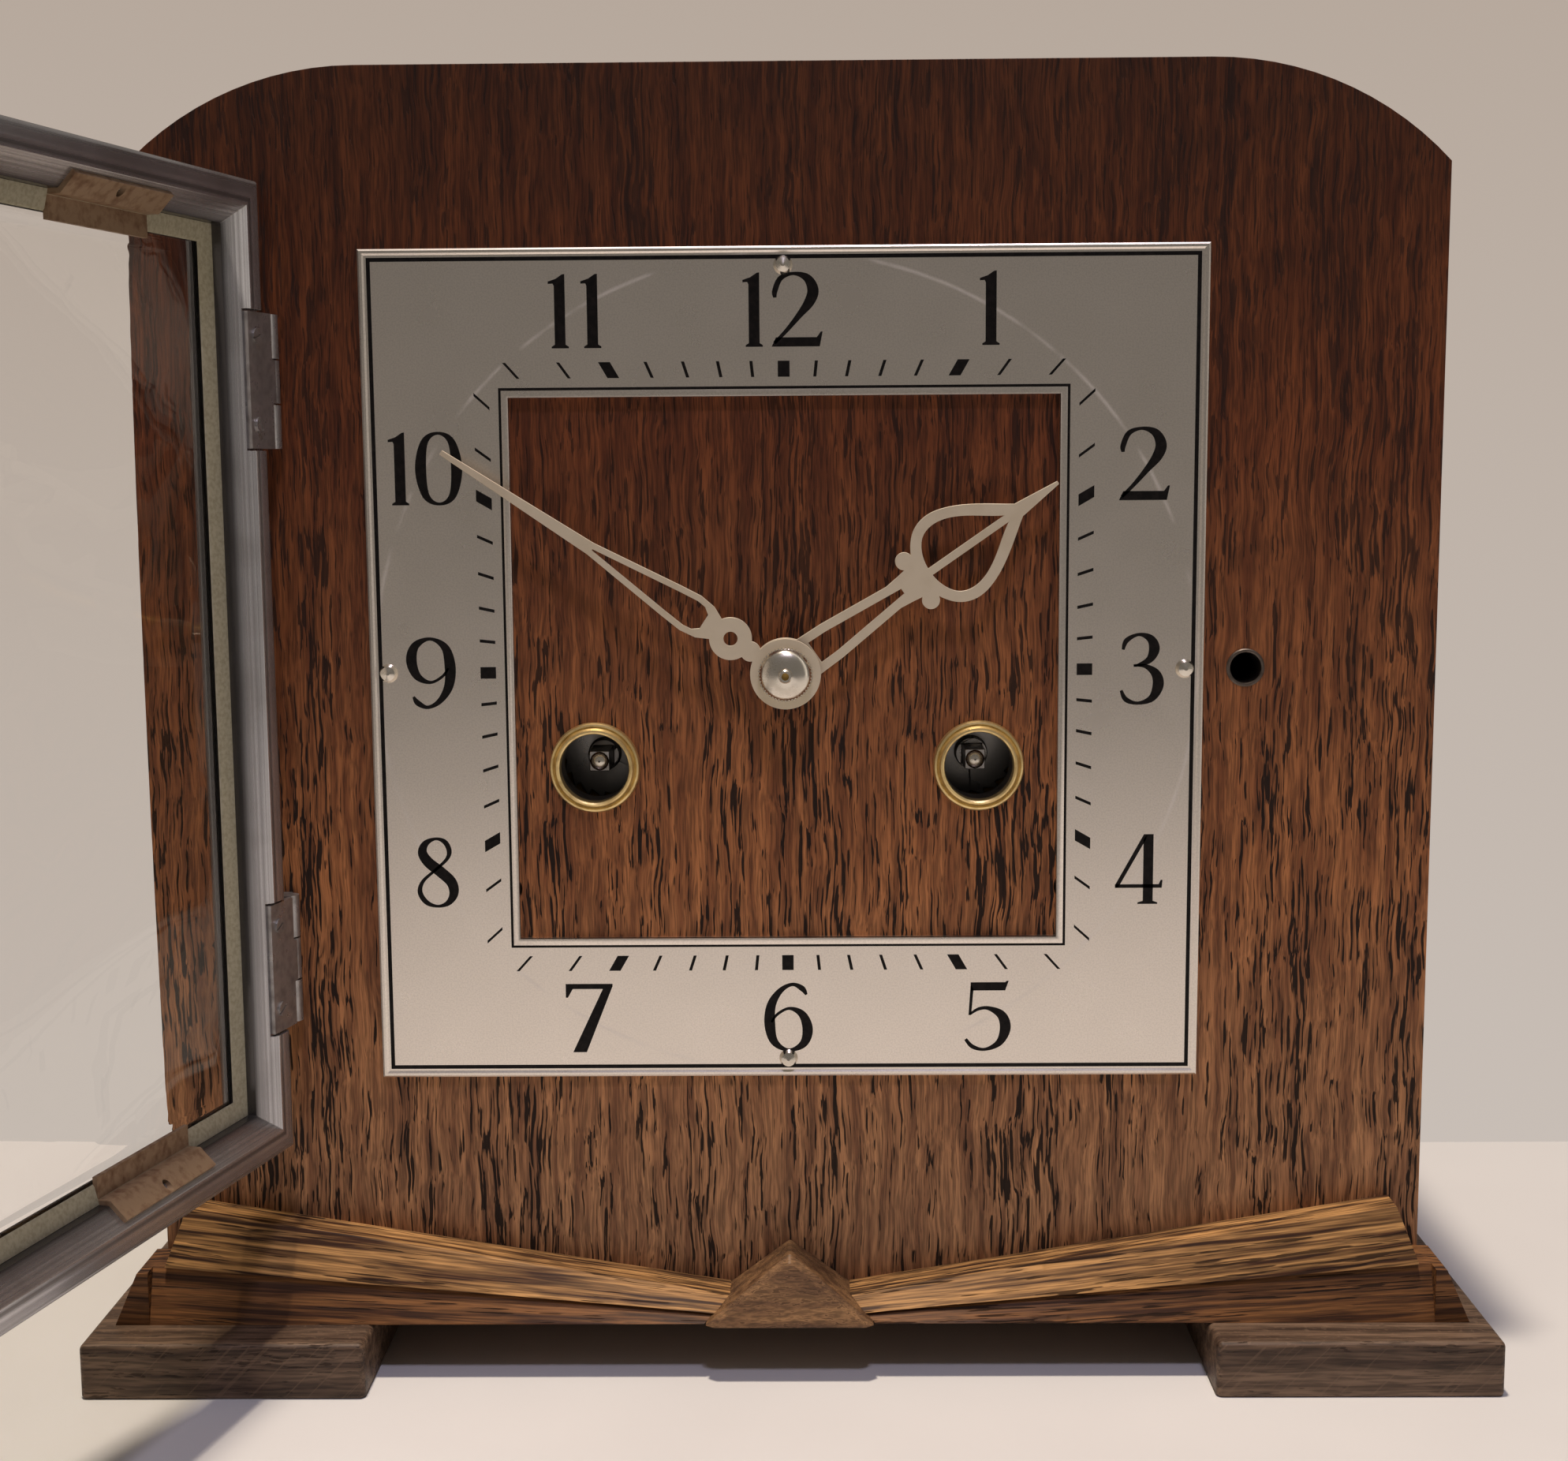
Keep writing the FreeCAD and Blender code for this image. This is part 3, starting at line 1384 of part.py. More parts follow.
def make_winding_arbor(label, place):
    """A squared shaft for the key, with its ratchet in front of the plate."""
    tip = float(face_y + s.wind_recess)
    shoulder = tip + float(s.wind_square_length)
    half = float(s.wind_square) / 2
    square = block((-half, half), (tip, shoulder), (-half, half))
    shaft = cylinder(s.barrel_arbor_radius, shoulder, behind)
    radii = {"tip": float(s.ratchet_radius), "root": float(s.ratchet_radius - s.ratchet_depth)}
    start = outside - float(s.ratchet_level)
    teeth = toothed(radii, RATCHET_TEETH, start, start + float(s.ratchet_thick), 0.0, SLOPED)
    feature(label, shaft.fuse([square, teeth]), place)


def make_click(label, place, barrel, nose_angle):
    """A pawl on its stud, its nose just clear of the ratchet."""
    start = outside - float(s.ratchet_level)
    end = start + float(s.ratchet_thick)
    nose_radius = float(s.lever_half)
    reach = float(s.ratchet_radius) + nose_radius + 0.35
    angle = math.radians(nose_angle)
    nose = (
        float(barrel[0] - place[0]) + reach * math.cos(angle),
        float(barrel[1] - place[1]) + reach * math.sin(angle),
    )
    shape = link((0, 0), nose, nose_radius, start, end).fuse(cylinder(2.6, start, end))
    feature(label, shape.cut(cylinder(s.stud_radius + s.running_clearance, start - 1, end + 1)), place)


def meshed(leaves, module, level, phase):
    """A pinion that spans the wheel standing at this level behind the front plate."""
    start = inside + float(level - s.pinion_lead)
    return pinion(leaves, module, start, start + float(s.pinion_length), phase)


def geared_arbor(label, place, shaft, *gears):
    feature(label, shaft.fuse(list(gears)), place)


def make_going_train():
    thin = s.pivot_radius
    make_barrel("going_barrel", GOING_BARREL, 0.0)
    make_winding_arbor("going_winding_arbor", GOING_BARREL)
    make_click("going_click", GOING_CLICK, GOING_BARREL, 95)
    phase = meshing_phase(SECOND, GOING_BARREL, SECOND_LEAVES, GREAT_TEETH, 0.0)
    geared_arbor("second_wheel", SECOND, arbor(s.arbor_radius),
                 meshed(SECOND_LEAVES, s.great_module, great_level, phase),
                 wheel(SECOND_TEETH, s.second_module, inside + float(s.second_level)))
    phase = meshing_phase(CENTRE, SECOND, CENTRE_LEAVES, SECOND_TEETH, 0.0)
    geared_arbor("centre_wheel", CENTRE,
                 arbor(s.arbor_radius, front_end=face_y - s.centre_reach, front_radius=s.arbor_radius),
                 meshed(CENTRE_LEAVES, s.second_module, s.second_level, phase),
                 wheel(CENTRE_TEETH, s.centre_module, inside + float(s.centre_level)))
    phase = meshing_phase(THIRD, CENTRE, THIRD_LEAVES, CENTRE_TEETH, 0.0)
    geared_arbor("third_wheel", THIRD, arbor(thin),
                 meshed(THIRD_LEAVES, s.centre_module, s.centre_level, phase),
                 wheel(THIRD_TEETH, s.third_module, inside + float(s.third_level)))
    phase = meshing_phase(ESCAPE, THIRD, ESCAPE_LEAVES, THIRD_TEETH, 0.0)
    radii = {"tip": float(s.escape_radius), "root": 0.87 * float(s.escape_radius)}
    start = inside + float(s.escape_level)
    geared_arbor("escape_wheel", ESCAPE, arbor(thin),
                 meshed(ESCAPE_LEAVES, s.third_module, s.third_level, phase),
                 toothed(radii, ESCAPE_TEETH, start, start + float(s.wheel_thick), 0.0, SLOPED))


# One pallet's corners and its arm's end, in shares of the anchor's height over the escape wheel
PALLET = [(0.4882, -0.2118), (0.6059, -0.2118), (0.5882, -0.4941), (0.5412, -0.4471)]
PALLET_ARM = (0.5412, -0.2471)


def make_anchor():
    """Two pallets over the escape wheel, and the crutch that takes the pendulum's swing."""
    start = inside + float(s.escape_level - s.free_clearance)
    end = start + float(s.wheel_thick + 2 * s.free_clearance)
    rise = float(s.anchor_rise)
    hub = cylinder(s.lever_boss, start, end)
    arms = []
    pallets = []
    for side in (-1, 1):
        arm_end = (side * PALLET_ARM[0] * rise, PALLET_ARM[1] * rise)
        arms.append(link((0, 0), arm_end, float(s.lever_half), start, end))
        pallets.append(sheet_metal([(side * x * rise, z * rise) for x, z in PALLET], start, end))
    shaft = arbor(s.arbor_radius, back_end=behind + 3.0, back_radius=s.crutch_arbor_radius)
    length = float(s.crutch_length)
    crutch = link((0, 0), (0, -length), 0.9, behind + 1.5, behind + 3.0)
    boss = cylinder(2.4, behind + 1.5, behind + 3.0)
    fork = block((-3.0, 3.0), (behind + 1.5, behind + 8.5), (-length - 1.5, -length + 1.5))
    slot = block((-1.3, 1.3), (behind + 3.0, behind + 9.0), (-length - 2, -length + 2))
    shape = hub.fuse(arms + pallets + [shaft, crutch, boss, fork.cut(slot)])
    feature("anchor", shape, ANCHOR)


def make_pendulum():
    """A spring strip in the slit of its cock, a rod, and a bob on a rating nut."""
    middle = behind + float(s.pendulum_gap)
    radius = float(s.pendulum_rod)
    low = float(s.pendulum_length)
    tail, drop = float(s.pendulum_tail), float(s.spring_drop)
    strip = block((-0.2, 0.2), (middle - 2, middle + 2), (-drop, s.spring_rise))
    stem = Part.makeCylinder(radius, low + tail - drop + 3, Vector(0, middle, -low - tail))
    clasp = block((-1.2, 1.2), (middle - 2, middle + 2), (-drop, 4 - drop))
    feature("pendulum_rod", stem.fuse([strip, clasp]), ANCHOR)
    half = float(s.bob_thick) / 2
    bore = Part.makeCylinder(radius + 0.02, 2 * tail, Vector(0, middle, -low - tail))
    edge = 1.2
    disc = cylinder(float(s.bob_radius) - edge, middle - half, middle + half, 0, -low)
    rim = cylinder(s.bob_radius, middle - half + edge, middle + half - edge, 0, -low)
    bob = disc.fuse(rim).cut(bore)
    seat = Vector(0, middle, -low - float(s.rating_nut_drop))
    nut = Part.makeCylinder(float(s.rating_nut_radius), float(s.rating_nut_height), seat).cut(bore)
    feature("pendulum_bob", Part.makeCompound([bob, nut]), ANCHOR)
    slit = block((-0.9, 0.9), (behind + 2.5, behind + 12), (2.0, 10.0))
    cock = block((-6, 6), (behind, behind + 10), (3.4, 13.4)).cut(slit)
    feature("suspension_cock", cock, ANCHOR)


# Motion work and striking work in front of the plate


def make_motion_work():
    fit = s.running_clearance
    front = face_y - s.minute_hand_gap - s.hand_thick
    start, end = outside - float(s.cannon_level), outside - float(s.cannon_gap)
    teeth = pinion(CANNON_LEAVES, s.motion_module, start, end)
    pipe = cylinder(cannon_radius, front, end)
    lobe = link((0, 0), (3.4, 0), 2.6, outside - float(s.lever_level), start)
    bore = cylinder(s.arbor_radius + fit, front - 1, outside + 1)
    feature("cannon_pinion", pipe.fuse([teeth, lobe]).cut(bore), CENTRE)
    phase = meshing_phase(MINUTE, CENTRE, MINUTE_TEETH, CANNON_LEAVES, 0.0)
    start = outside - float(s.minute_wheel_level)
    driven = wheel(MINUTE_TEETH, s.motion_module, start, phase)
    driver = pinion(MINUTE_LEAVES, s.motion_module, outside - float(s.hour_wheel_level) - 0.5, start)
    bore = cylinder(s.stud_radius + fit, outside - float(s.snail_level), outside)
    feature("minute_wheel", driven.fuse(driver).cut(bore), MINUTE)
    phase = meshing_phase(CENTRE, MINUTE, HOUR_TEETH, MINUTE_LEAVES, 0.0)
    front = face_y - s.hour_hand_gap - s.hand_thick
    start = outside - float(s.hour_wheel_level)
    pipe = cylinder(hour_pipe_radius, front, start + float(s.wheel_thick))
    disc = wheel(HOUR_TEETH, s.motion_module, start, phase)
    bore = cylinder(hour_pipe_bore, front - 1, outside)
    feature("hour_wheel", pipe.fuse([disc, snail()]).cut(bore), CENTRE)


TAIL_ANGLE = -45.0


def snail():
    """Twelve steps, one for each hour, lowest at twelve."""
    time = float(s.hour_angle) / 30
    points = []
    for hour in range(1, HOURS + 1):
        radius = float(s.snail_radius) - float(s.snail_step) * (hour - 1)
        middle = TAIL_ANGLE + (hour - time) * 30
        for share in (-15, -5, 5, 15):
            angle = math.radians(middle + share)
            points.append((radius * math.cos(angle), radius * math.sin(angle)))
    start = outside - float(s.snail_level)
    return sheet_metal(points, start, start + float(s.lever_thick))


def polar(radius, angle):
    return (radius * math.cos(math.radians(angle)), radius * math.sin(math.radians(angle)))


def make_rack():
    """A toothed sector that the gathering pallet takes up, and a tail that drops on the snail."""
    start = outside - float(s.rack_level)
    end = start + float(s.lever_thick)
    tip, inner = float(s.rack_tip), float(s.rack_inside)
    depth, pitch = 1.2, 1.8
    first, count = 98.4, 14
    teeth = []
    for tooth in range(count):
        angle = first + tooth * pitch
        teeth += [polar(tip - depth, angle), polar(tip, angle + 0.2), polar(tip - depth, angle + pitch - 0.2)]
    last = first + count * pitch
    inner_edge = [polar(inner, angle) for angle in (last, (first + last) / 2, first)]
    sector = sheet_metal(teeth + inner_edge, start, end)
    arm = link((0, 0), polar(inner + 1, (first + last) / 2), 1.6, start, end)
    hub = cylinder(s.lever_boss, start, end)
    tail_end = (float(s.rack_tail_x - RACK[0]), float(s.rack_tail_z - RACK[1]))
    low = outside - float(s.rack_tail_level)
    tail = link((0, 0), tail_end, 1.0, low, low + float(s.lever_thick))
    tail_pin = cylinder(0.6, low, outside - float(s.snail_level - s.lever_thick), *tail_end)
    collar = cylinder(2.2, low, end)
    shape = sector.fuse([arm, hub, tail, tail_pin, collar])
    feature("rack", shape.cut(cylinder(s.stud_radius + s.running_clearance, low - 1, end + 1)), RACK)


def make_levers():
    """The rack hook, balanced by its tail, and the lifting lever, each on its own stud."""
    bore = s.stud_radius + s.running_clearance
    thick, half = float(s.lever_thick), float(s.lever_half)
    start = outside - float(s.rack_level)
    end = start + thick
    beak = (float(s.hook_beak_x - HOOK[0]), float(s.hook_beak_z - HOOK[1]))
    share = float(s.hook_tail_length) / math.hypot(*beak)
    tail = (-share * beak[0], -share * beak[1])
    hook = cylinder(s.lever_boss, start, end).fuse([
        link((0, 0), beak, half, start, end),
        link((0, 0), tail, float(s.hook_tail_half), start, end),
    ])
    feature("rack_hook", hook.cut(cylinder(bore, start - 1, end + 1)), HOOK)
    start = outside - float(s.lever_level)
    end = start + thick
    foot = (float(s.lever_foot_x - LEVER[0]), float(s.lever_foot_z - LEVER[1]))
    reach = (float(s.lever_pin_x - LEVER[0]), float(s.lever_pin_z - LEVER[1]))
    lever = cylinder(s.lever_boss, start, end).fuse([
        link((0, 0), foot, half, start, end),
        link((0, 0), reach, half, start, end),
        cylinder(0.8, start, outside - float(s.rack_level) + thick, *reach),
    ])
    feature("lifting_lever", lever.cut(cylinder(bore, start - 1, end + 1)), LEVER)


# Striking train, hammers and gong


def make_strike_train():
    thin = s.pivot_radius
    make_barrel("strike_barrel", STRIKE_BARREL, 0.0)
    make_winding_arbor("strike_winding_arbor", STRIKE_BARREL)
    make_click("strike_click", STRIKE_CLICK, STRIKE_BARREL, 85)
    phase = meshing_phase(PIN, STRIKE_BARREL, SECOND_LEAVES, GREAT_TEETH, 0.0)
    stars = []
    for row in (0, 1):
        start = behind + float(s.hammer_setback + row * s.hammer_pitch)
        end = start + float(s.hammer_thick)
        stars.append(toothed({"tip": 6.5, "root": 3.2}, HAMMER_STAR_POINTS, start, end, 0.39, POINTED))
    extension = behind + float(s.hammer_setback + s.hammer_pitch) + 5
    geared_arbor("pin_wheel", PIN, arbor(s.arbor_radius, back_end=extension, back_radius=s.arbor_radius),
                 meshed(SECOND_LEAVES, s.great_module, great_level, phase),
                 wheel(SECOND_TEETH, s.strike_module, inside + float(s.second_level)), *stars)
    phase = meshing_phase(GATHER, PIN, GATHER_LEAVES, SECOND_TEETH, 0.0)
    start = outside - float(s.rack_level)
    end = start + float(s.lever_thick)
    pallet = cylinder(1.6, start, end).fuse(link((0, 0), (1.6, 0), 0.8, start, end))
    geared_arbor("gathering_wheel", GATHER,
                 arbor(s.arbor_radius, front_end=start, front_radius=s.gather_extension), pallet,
                 meshed(GATHER_LEAVES, s.strike_module, s.second_level, phase),
                 wheel(GATHER_TEETH, s.gather_module, inside + float(s.gather_level)))
    phase = meshing_phase(WARNING, GATHER, WARNING_LEAVES, GATHER_TEETH, 0.0)
    geared_arbor("warning_wheel", WARNING, arbor(thin),
                 meshed(WARNING_LEAVES, s.gather_module, s.gather_level, phase),
                 wheel(WARNING_TEETH, s.warning_module, inside + float(s.warning_level)))
    phase = meshing_phase(FLY, WARNING, FLY_LEAVES, WARNING_TEETH, 0.0)
    start = inside + float(s.fly_level)
    end = start + float(s.fly_length)
    geared_arbor("fly", FLY, arbor(thin), meshed(FLY_LEAVES, s.warning_module, s.warning_level, phase),
                 block((-s.fly_half, s.fly_half), (start, end), (-0.4, 0.4)), cylinder(1.6, start, end))


def make_hammers():
    for row, label in ((0, "hammer_front"), (1, "hammer_rear")):
        start = behind + float(s.hammer_setback + row * s.hammer_pitch)
        end = start + float(s.hammer_thick)
        hub = cylinder(2 * s.hammer_stud_radius, start, end)
        head_x, head_z = float(s.hammer_arm), -float(s.hammer_head_drop)
        arm = link((0, 0), (head_x, head_z), 1.4, start, end)
        tail = link((0, 0), (0, float(s.hammer_tail)), 1.0, start, end)
        face = Vector(head_x, (start + end) / 2, head_z - float(s.hammer_face))
        head = Part.makeCylinder(float(s.hammer_head), float(s.hammer_head_length), face)
        bore = cylinder(s.hammer_stud_radius + s.running_clearance, start - 1, end + 1)
        feature(label, hub.fuse([arm, tail, head]).cut(bore), HAMMER)


def make_gong():
    """Two straight rods cantilevered from a block on the base board."""
    low = float(s.foot_height + s.base_thick)
    rods = []
    struck = dial_z - s.hammer_drop - s.hammer_head_drop - s.hammer_face
    height = float(struck - s.gong_gap - s.gong_rod_radius)
    left = float(HAMMER[0] + s.hammer_arm) - 16
    right = left + float(s.gong_rod_length)
    for row in (0, 1):
        middle = behind + float(s.hammer_setback + row * s.hammer_pitch + s.hammer_thick / 2)
        centre = Vector(left, middle, height)
        rods.append(Part.makeCylinder(float(s.gong_rod_radius), right - left, centre, Vector(1, 0, 0)))
    start = behind + float(s.hammer_setback) - 4
    stand = block((right, right + 14), (start, start + 21), (low, height + 8))
    foot = block((right - 8, right + 22), (start, start + 21), (low, low + 5))
    obj = doc.addObject("Part::Feature", "gong")
    obj.Shape = Part.makeCompound([stand.fuse(foot).removeSplitter(), *rods])
    piece(obj, "gong")


make_front()
make_back_panel()
make_top()
make_sides()
make_base()
make_feet()
make_strips()
make_keystone()
make_dial()
make_dial_pins()
make_grommets()
make_minute_hand()
make_hour_hand()
make_hand_nut()
make_bezel()
make_glass()
make_clips()
make_catch()
make_bezel_hinges()
make_back_door()
make_back_fittings()
make_plates()
make_pillars()
make_going_train()
make_anchor()
make_pendulum()
make_motion_work()
make_rack()
make_levers()
make_strike_train()
make_hammers()
make_gong()
doc.recompute()

for obj in doc.Objects:
    if "Invalid" in obj.State or "Error" in obj.State:
        raise RuntimeError(f"{obj.Label} did not compute: {obj.State}")
for obj in PIECES:
    if obj.Shape.isNull() or not obj.Shape.isValid():
        raise RuntimeError(f"{obj.Label} has no valid shape")

os.makedirs("parts", exist_ok=True)
for obj in PIECES:
    obj.Shape.exportStep(f"parts/{obj.Label}.step")
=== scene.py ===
import json
import math

import bmesh
import bpy
from bpy.props import FloatProperty, FloatVectorProperty, IntProperty, PointerProperty
from mathutils import Euler, Matrix, Vector

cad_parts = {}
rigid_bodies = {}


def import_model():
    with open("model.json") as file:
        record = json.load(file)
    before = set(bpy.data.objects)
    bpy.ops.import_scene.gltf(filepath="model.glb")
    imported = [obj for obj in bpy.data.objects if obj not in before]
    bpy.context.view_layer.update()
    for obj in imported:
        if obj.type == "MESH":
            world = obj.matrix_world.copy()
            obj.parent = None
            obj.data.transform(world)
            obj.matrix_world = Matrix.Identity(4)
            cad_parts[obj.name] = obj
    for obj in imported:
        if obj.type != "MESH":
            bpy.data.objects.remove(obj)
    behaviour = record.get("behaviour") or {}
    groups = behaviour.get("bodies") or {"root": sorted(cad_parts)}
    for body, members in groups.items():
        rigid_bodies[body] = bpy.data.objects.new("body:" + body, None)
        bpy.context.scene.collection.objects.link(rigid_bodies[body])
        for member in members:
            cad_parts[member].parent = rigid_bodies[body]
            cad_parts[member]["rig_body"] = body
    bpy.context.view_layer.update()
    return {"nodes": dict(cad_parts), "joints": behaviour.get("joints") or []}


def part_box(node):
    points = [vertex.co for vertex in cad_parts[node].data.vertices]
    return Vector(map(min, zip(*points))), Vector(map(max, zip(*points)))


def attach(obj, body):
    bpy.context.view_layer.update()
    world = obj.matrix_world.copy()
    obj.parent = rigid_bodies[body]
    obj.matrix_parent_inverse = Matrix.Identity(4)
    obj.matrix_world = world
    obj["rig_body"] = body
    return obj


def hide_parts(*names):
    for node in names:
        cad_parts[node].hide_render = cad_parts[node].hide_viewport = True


bl_info = {
    "name": "Mantel clock dress",
    "version": (1, 0, 0),
    "blender": (4, 5, 0),
    "location": "View3D > Sidebar > Clock",
    "description": "Finishes for a striking mantel clock with an oak case and an open glass door",
    "category": "Object",
}

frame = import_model()
NODES = frame["nodes"]
MM = 0.001


def front_centre(low, high, y):
    """The middle of a box as seen from the front, at the given depth."""
    return Vector(((low.x + high.x) / 2, y, (low.z + high.z) / 2))


dial_low, dial_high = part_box("dial_plate")
DIAL = front_centre(dial_low, dial_high, dial_low.y)
DIAL_EDGE = dial_high.x / MM
CASE_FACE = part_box("case_front")[0].y
HINGE = next(joint for joint in frame["joints"] if joint["name"] == "bezel_hinge")
DOOR_OPEN = math.radians(HINGE["range_deg"][1])
DOOR_FRAME = Matrix.Translation(HINGE["pos_m"]) @ Matrix.Rotation(-DOOR_OPEN, 4, "Z")
DOOR_MIDDLE = DIAL.x - HINGE["pos_m"][0]


def linear(code):
    """An sRGB hex colour as linear red, green, blue and alpha."""
    channels = [int(code[i:i + 2], 16) / 255 for i in (0, 2, 4)]
    return (*[c / 12.92 if c <= 0.04045 else ((c + 0.055) / 1.055) ** 2.4 for c in channels], 1.0)


def length(name, description, millimetres):
    return FloatProperty(
        name=name, description=description, default=millimetres * MM, min=0.0, unit="LENGTH")


def colour(name, description, code):
    return FloatVectorProperty(
        name=name, description=description, default=linear(code), size=4, min=0.0, max=1.0, subtype="COLOR")


class ClockSizes(bpy.types.PropertyGroup):
    """Sizes of the printed dial and the small fittings."""

    numeral_height: length("Numeral height", "Height of the dial's figures", 12.9)
    numeral_reach: length(
        "Numeral reach", "From the dial's centre to the middle of the 3, 6, 9 and 12", 64.0)
    numeral_step: length("Numeral step", "From the axis to the figures beside the 3, 6, 9 and 12", 36.6)
    track_inner: length("Track inside", "Half width of the square that the minute marks start from", 52.3)
    track_outer: length("Track outside", "Half width of the square that the minute marks end at", 55.1)
    border_reach: length("Border reach", "Half width of the square border line", 73.5)
    inner_line_reach: length("Inner line reach", "Half width of the square line round the opening", 50.7)
    print_height: length("Print height", "How far the ink stands off the dial", 0.03)
    rim_height: length("Rim height", "How far the dial's pressed rims stand off its face", 0.45)
    screw_radius: length("Screw radius", "Radius of a hinge screw's head", 1.35)
    knurl_radius: length("Knurl radius", "Radius of one ridge on the hand nut's edge", 0.17)
    knurls: IntProperty(name="Knurls", description="Ridges round the hand nut", default=48, min=8, max=96)


class ClockColours(bpy.types.PropertyGroup):
    """Colours of the finishes."""

    oak_light: colour("Oak, light", "Late wood of the stained oak veneer", "c49266")
    oak_dark: colour("Oak, dark", "Early wood of the stained oak veneer", "885e40")
    oak_pore: colour("Oak pores", "Stain gathered in the open pores", "120b08")
    # Painted shade: this colour darkens the oak towards the case's top, where less light falls
    oak_top: colour("Oak, top", "How the stain deepens towards the top", "80614d")
    stripe_light: colour("Striped wood, light", "Light bands of the moulding strips", "d09e63")
    stripe_dark: colour("Striped wood, dark", "Dark bands of the moulding strips", "452815")
    # Painted shade: the lower strips take darker light bands than the upper ones, for the shadow the upper
    # strips throw on them
    stripe_low: colour("Striped wood, low", "Light bands of the lower strips", "8b5e36")
    foot_tone: colour("Foot wood", "Plain stained feet", "826a56")
    silver: colour("Silvering", "Silvered face of the dial", "f0e8de")
    ink: colour("Ink", "Printed lines and figures", "0d0b0b")
    hand: colour("Hands", "Satin plated hands", "e0d3bb")
    brass: colour("Brass", "Lacquered brass fittings", "e6cd92")
    chrome: colour("Chrome", "Plated bezel frame", "cac9cb")
    floor: colour("Floor", "Plain pale table", "e8e8e8")
    # Painted shade: the wall is drawn darker towards the top, where the lamp's light falls off
    wall_low: colour("Wall, low", "Wall behind the clock at the table", "c9bfb7")
    wall_high: colour("Wall, high", "Wall behind the clock at the top of the picture", "b6a89c")


# Node building

# A colour Mix node: its sockets for the share and the two colours, and its settings
SHARE, UNDER, OVER = 0, 6, 7
BLEND = {"out": 2, "data_type": "RGBA"}
TINT = {**BLEND, "blend_type": "MULTIPLY"}


def fill(tree, node, values):
    """Set a node's sockets to values or link them, by name or number, or in their order."""
    for socket, value in values.items() if isinstance(values, dict) else enumerate(values):
        if isinstance(value, bpy.types.NodeSocket):
            tree.links.new(value, node.inputs[socket])
        else:
            node.inputs[socket].default_value = value


def add(tree, kind, values=(), stops=(), out=0, **settings):
    """Add one node with its settings, its sockets' values or links, and a ramp's stops.

    Returns the output socket that is asked for, or all of them where out is None.
    """
    made = tree.nodes.new(kind)
    for name, value in settings.items():
        setattr(made, name, value)
    fill(tree, made, values)
    for number, (place, tone) in enumerate(stops):
        elements = made.color_ramp.elements
        stop = elements[number] if number < 2 else elements.new(place)
        stop.position = place
        stop.color = tone
    return made.outputs if out is None else made.outputs[out]


def start_material(name):
    """A new material's tree, its shader, and the piece's own coordinates."""
    made = bpy.data.materials.new(name)
    made.use_nodes = True
    tree = made.node_tree
    return tree, tree.nodes["Principled BSDF"], add(tree, "ShaderNodeTexCoord", out="Object")


def grey(level):
    return (level, level, level, 1.0)


def streaks(tree, place, across, along, detail=2.0, out="Fac"):
    """Noise drawn out along Z, in millimetres across and along the grain."""
    stretch = (1 / (across * MM), 1 / (across * MM), 1 / (along * MM))
    stretched = add(tree, "ShaderNodeMapping", {"Vector": place, "Scale": stretch})
    values = {"Vector": stretched, "Scale": 1.0, "Detail": detail}
    return add(tree, "ShaderNodeTexNoise", values, out=out)


# Finishes


